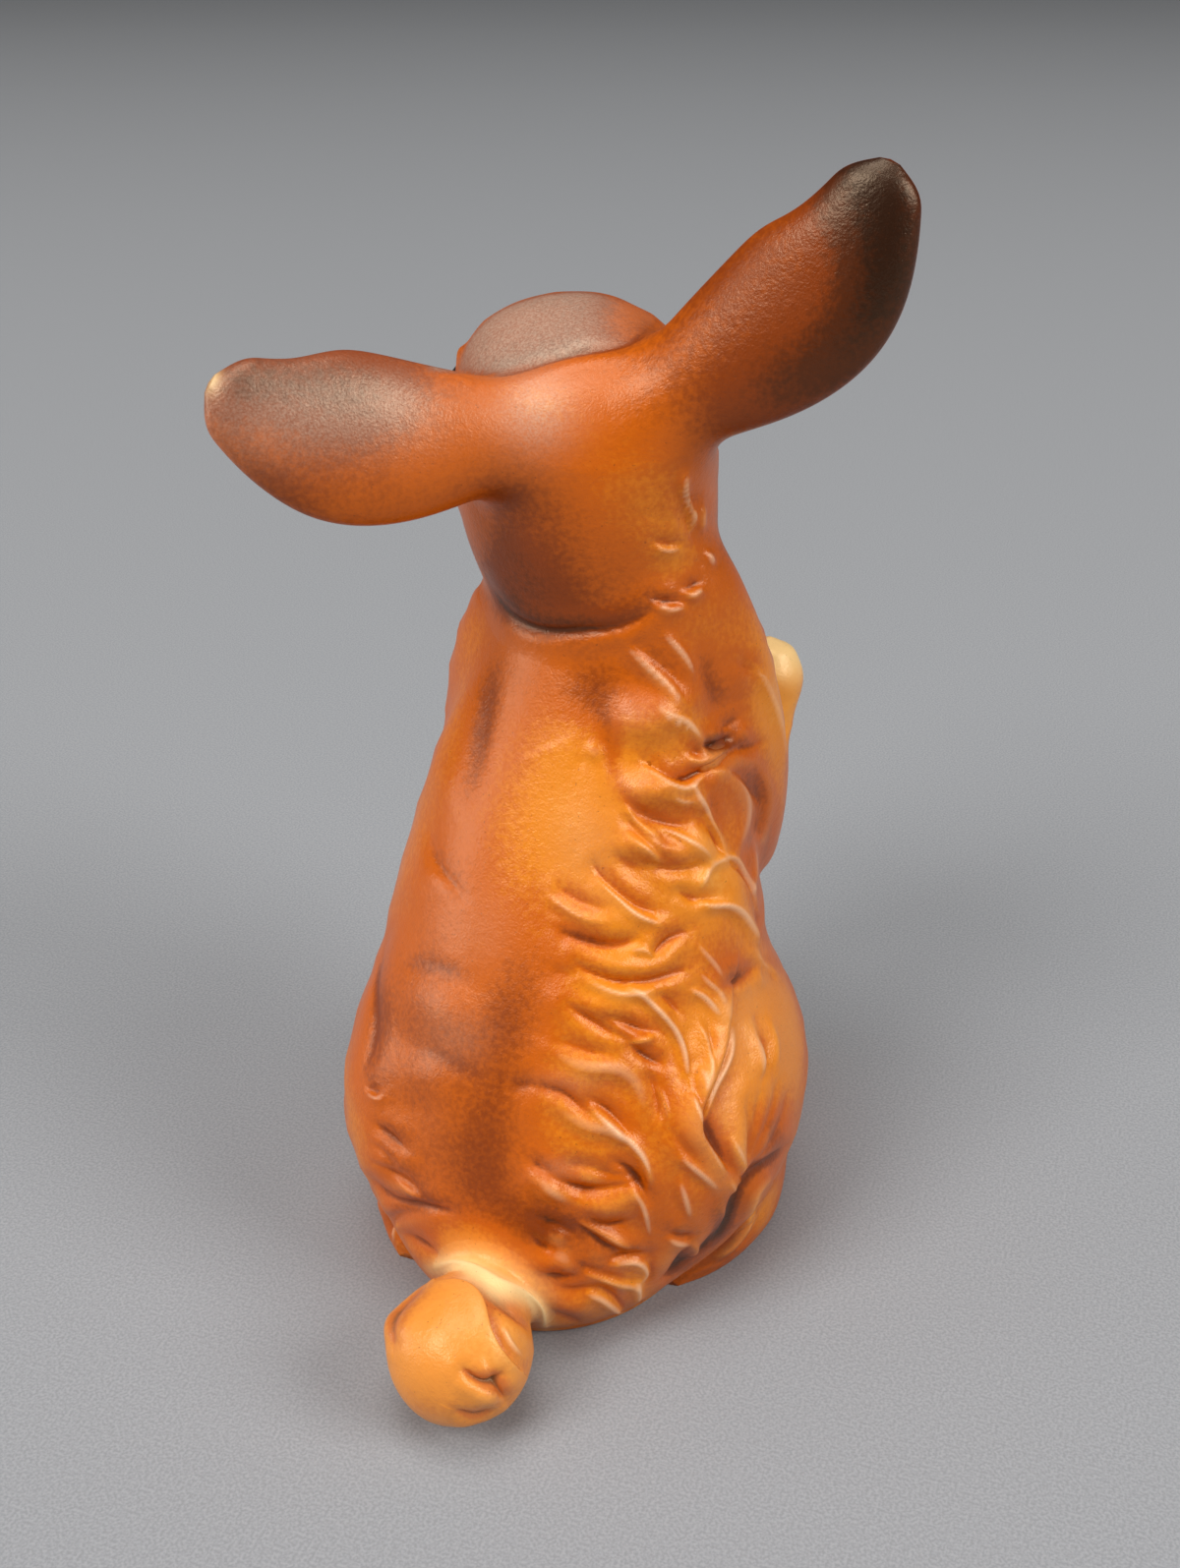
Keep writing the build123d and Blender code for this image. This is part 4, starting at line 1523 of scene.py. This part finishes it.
def foreleg_piece(name, line, node):
    """One foreleg from the elbow to its raised paw, whose edge and front are cream."""
    arm_places = np.linspace(0.06, 0.9, foreleg_rows)
    paw_places = 0.9 + 0.1 * np.sin(np.linspace(0.05, np.pi / 2, paw_rows))
    elbow, bend = np.array(line[0]), np.array(line[1])
    grid, ends, outer = limb(
        line, elbow + 0.4 * (elbow - bend), (0, -1, 0), (foreleg_half_width,) * 2,
        foreleg_shares, np.concatenate([arm_places, paw_places]), foreleg_columns,
        oval, body_gap, elbow_fillet,
    )
    normals = grid_normals(grid, ends)
    height = paw_grooves(grid, normals, line)
    height += foreleg_fur * soft_fur(grid, foreleg_fur_size) * (1 - rise(outer, 0.7, 0.85))
    skin = grid + normals * height[..., None]
    rim = rise(outer, 0.80, 0.97) * rise(normals[..., 2] - normals[..., 0], 0.45, 0.95)
    rim = rim + rise(outer, 0.66, 0.86) * rise(-normals[..., 1], 0, 0.6)
    carving = {"relief": height, "wear_and_painted_light": 0 * height}
    base = -paw_lighter * rise(outer, 0.5, 0.8)
    layers = painted(grid, normals, carving, base, paw_cream * np.clip(rim, 0, 1))
    piece = make_piece(name, skin, ends, layers, ceramic)
    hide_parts(node)


foot_half_rows, foot_columns = 70, 130
sole_edge = 0.8
toe_spacing, toe_depth, toes_half_width = 3.7, 1.5, 6.2
right_heel_swing, left_heel_swing = 4.5, -1.5
heel_fillet, foot_fillet = 0.6, 6.0
foot_browner, toe_cream = 0.04, 0.75


def foot_piece(name, line, node, swing):
    """One hind foot, lying along its line with a flat sole and four toes: half ellipses
    over the sole, cut by bells between the toes, which reach out in a bow. The swing is
    how far the end of the heel turns in under the rump."""
    heel, toe = (np.array([*place, 0.0]) for place in line)
    run = toe - heel
    across = unit(np.cross((0, 0, 1), run))
    places = np.sin(np.linspace(0, np.pi / 2, foot_half_rows))
    places = np.concatenate([0.5 * (1 - places[::-1]), 0.5 + 0.5 * places[1:]])
    wide, high = curve(foot_shares)(places)
    angles = round_angles(foot_columns)[None]
    x = wide[:, None] * foot_half_width * np.cos(angles)
    half = high[:, None] * foot_height
    z = half * (foot_sole_share + (1 - foot_sole_share) * np.sin(angles))
    z = np.maximum(-merged(-z, 0 * z, sole_edge) - sole_edge / 4, 0)
    lobes = rise(places, 0.80, 0.93)[:, None]
    cut = hump(np.abs(np.cos(np.pi * x / toe_spacing)), 0.36) * (np.abs(x) < toes_half_width)
    z = z - lobes * cut * np.minimum(toe_depth, 0.6 * z)
    bow = 0.022 * (1 - 2 * cut) - 0.00055 * np.abs(x) ** 1.5
    middle = foot_sole_share * half
    turned_in = swing * np.maximum(1 - places / 0.25, 0)[:, None] ** 2
    along = places[:, None] * (1 + lobes * bow) - 0.4 * turned_in / np.linalg.norm(run)
    sideways, _, upwards = level_axes
    centre = heel + run * along[..., None] + upwards * middle[..., None]
    centre = centre + sideways * turned_in[..., None]
    offset = across * x[..., None] + upwards * (z - middle)[..., None]
    soft = heel_fillet + (foot_fillet - heel_fillet) * rise(places, 0.03, 0.2)[:, None]
    grid = lengthened(centre, offset, body_gap, soft)
    grid[..., 2] = np.maximum(grid[..., 2], 0)
    ends = (grid[0].mean(axis=0) - unit(run) * 0.15, grid[-1].mean(axis=0) + unit(run) * 0.1)
    normals = grid_normals(grid, ends)
    skin, carving = shaped(grid, normals, foot_fur * rise(z, 1, 3) * (1 - lobes))
    carving["relief"] = carving["relief"] - lobes * cut * 0.4
    skin[..., 2] = np.maximum(skin[..., 2], 0)
    tips = rise(places, 0.86, 0.97)[:, None] + 0 * z
    layers = painted(grid, normals, carving, foot_browner, toe_cream * tips)
    piece = make_piece(name, skin, ends, layers, ceramic)
    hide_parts(node)


tail_root_rows, tail_ball_rows, tail_columns = 90, 130, 230
tail_fillet = 3.0
tail_clearance = 0.02
edge_lock_place, edge_lock_halves, edge_lock_height = (398, 1346), (14, 20), 0.9
flat_depth = 1.4
tail_cream = 0.1


def tail_piece():
    """The tail: a ball of curled locks on a short root, with a lock that stands out at
    its left edge and a flatter underside on its right."""
    root_rows = np.linspace(tail_inside, tail_centre[1] - 5, tail_root_rows)
    ball_turn = np.linspace(-0.58, 1.56, tail_ball_rows)
    rows = np.concatenate([root_rows, tail_centre[1] + tail_radius * np.sin(ball_turn)])
    starts = np.array([tail_centre[0], 0, tail_centre[2]]) + rows[:, None, None] * [0, 1.0, 0]
    turn = round_angles(tail_columns)
    rays = np.stack([np.cos(turn), 0 * turn, np.sin(turn)], axis=-1)[None]
    grid = reach_into(starts, rays + 0 * starts, tail_gap, body_gap, tail_fillet)
    ends = (starts[0, 0], starts[-1, 0] + [0, 0.01, 0])
    normals = grid_normals(grid, ends)
    away = (drawn_at(grid) - edge_lock_place) / edge_lock_halves
    lock = hump(np.linalg.norm(away, axis=-1), 1.0) * rise(grid[..., 1], 44, 50)
    flat = rise(6 - grid[..., 2], 0, 6) * rise(-normals[..., 0], -0.2, 0.8)
    skin, carving = shaped(grid, normals, tail_fur * rise(grid[..., 1], 38, 44))
    skin = skin + normals * (edge_lock_height * lock - flat_depth * flat)[..., None]
    skin[..., 2] = np.maximum(skin[..., 2], tail_clearance)
    layers = painted(grid, normals, carving, cream=tail_cream)
    piece = make_piece("tail_skin", skin, ends, layers, ceramic)
    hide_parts("tail")


body_piece()
head_piece()
for side in (-1, 1):
    eye_piece(side)
ear_piece(
    "right_ear_skin", right_ear_line, head_centre, right_ear_facing, "right_ear",
    head_gap, right_ear_fillet,
)
ear_piece(
    "left_ear_skin", left_ear_line, left_ear_lead, left_ear_facing, "left_ear",
    head_and_right_ear, left_ear_fillet,
)
foreleg_piece("right_foreleg_skin", right_foreleg_line, "right_foreleg")
foreleg_piece("left_foreleg_skin", left_foreleg_line, "left_foreleg")
foot_piece("right_foot_skin", right_foot_line, "right_hind_foot", right_heel_swing)
foot_piece("left_foot_skin", left_foot_line, "left_hind_foot", left_heel_swing)
tail_piece()


# Stage, light and camera

paper_half = 9.0
# Each lamp, from the figurine as the eye sees it: its place across, above and behind in
# millimetres, its size in metres and its power in watts
lamps = {
    "left_window": (-1600, 2050, 1400, 1.3, 52),
    "side_window": (-2600, 420, 300, 1.2, 20),
    "right_window": (2000, 1560, 1000, 1.3, 46),
    "top_light": (-200, 3000, 300, 1.7, 44),
}
room_colour = (0.95, 0.97, 1.0, 1.0)
room_strength = 0.06
sensor_width = 36.0
nearest_sight = 0.01


def paper_floor():
    """A wide sheet of plain pale grey paper."""
    paper = Recipe("pale_paper")
    paper.finish(Base_Color=paper.ramp(paper.grain(2600), paper_colours), Roughness=0.85)
    half = paper_half
    corners = [(-half, -half, 0), (half, -half, 0), (half, half, 0), (-half, half, 0)]
    mesh = bpy.data.meshes.new("floor")
    mesh.from_pydata(corners, [], [(0, 1, 2, 3)])
    mesh.materials.append(paper.material)
    floor = bpy.data.objects.new("floor", mesh)
    bpy.context.scene.collection.objects.link(floor)


def aimed(thing, place, target):
    """Puts a lamp or camera at a place, looking at a target, both in millimetres."""
    back = unit(np.array(place, float) - np.array(target, float))
    right = unit(np.cross((0, 0, 1), back))
    up = np.cross(back, right)
    matrix = np.eye(4)
    matrix[:3, :3] = np.column_stack([right, up, back])
    matrix[:3, 3] = np.array(place) * metres
    thing.matrix_world = matrix.T.tolist()


def softbox(name, across, above, behind, size, power):
    """A square lamp placed from the figurine as the eye sees it, and aimed at it."""
    data = bpy.data.lights.new(name, "AREA")
    data.shape = "SQUARE"
    data.size = size
    data.energy = power
    lamp = bpy.data.objects.new(name, data)
    bpy.context.scene.collection.objects.link(lamp)
    towards = unit(eye_back * np.array([1, 1, 0]))
    place = look_point + eye_right * across + towards * behind + np.array([0, 0, above])
    aimed(lamp, place, look_point)


paper_floor()
for name, lamp in lamps.items():
    softbox(name, *lamp)

world = bpy.data.worlds.new("studio")
world.use_nodes = True
world.node_tree.nodes["Background"].inputs["Color"].default_value = room_colour
world.node_tree.nodes["Background"].inputs["Strength"].default_value = room_strength
bpy.context.scene.world = world

camera_data = bpy.data.cameras.new("camera")
camera_data.sensor_width = sensor_width
camera_data.lens = camera_data.sensor_width * picture_distance / picture[1]
camera = bpy.data.objects.new("camera", camera_data)
bpy.context.scene.collection.objects.link(camera)
aimed(camera, eye_point, look_point)
camera_data.clip_start = nearest_sight
bpy.context.scene.camera = camera
bpy.context.scene.view_settings.view_transform = "Standard"
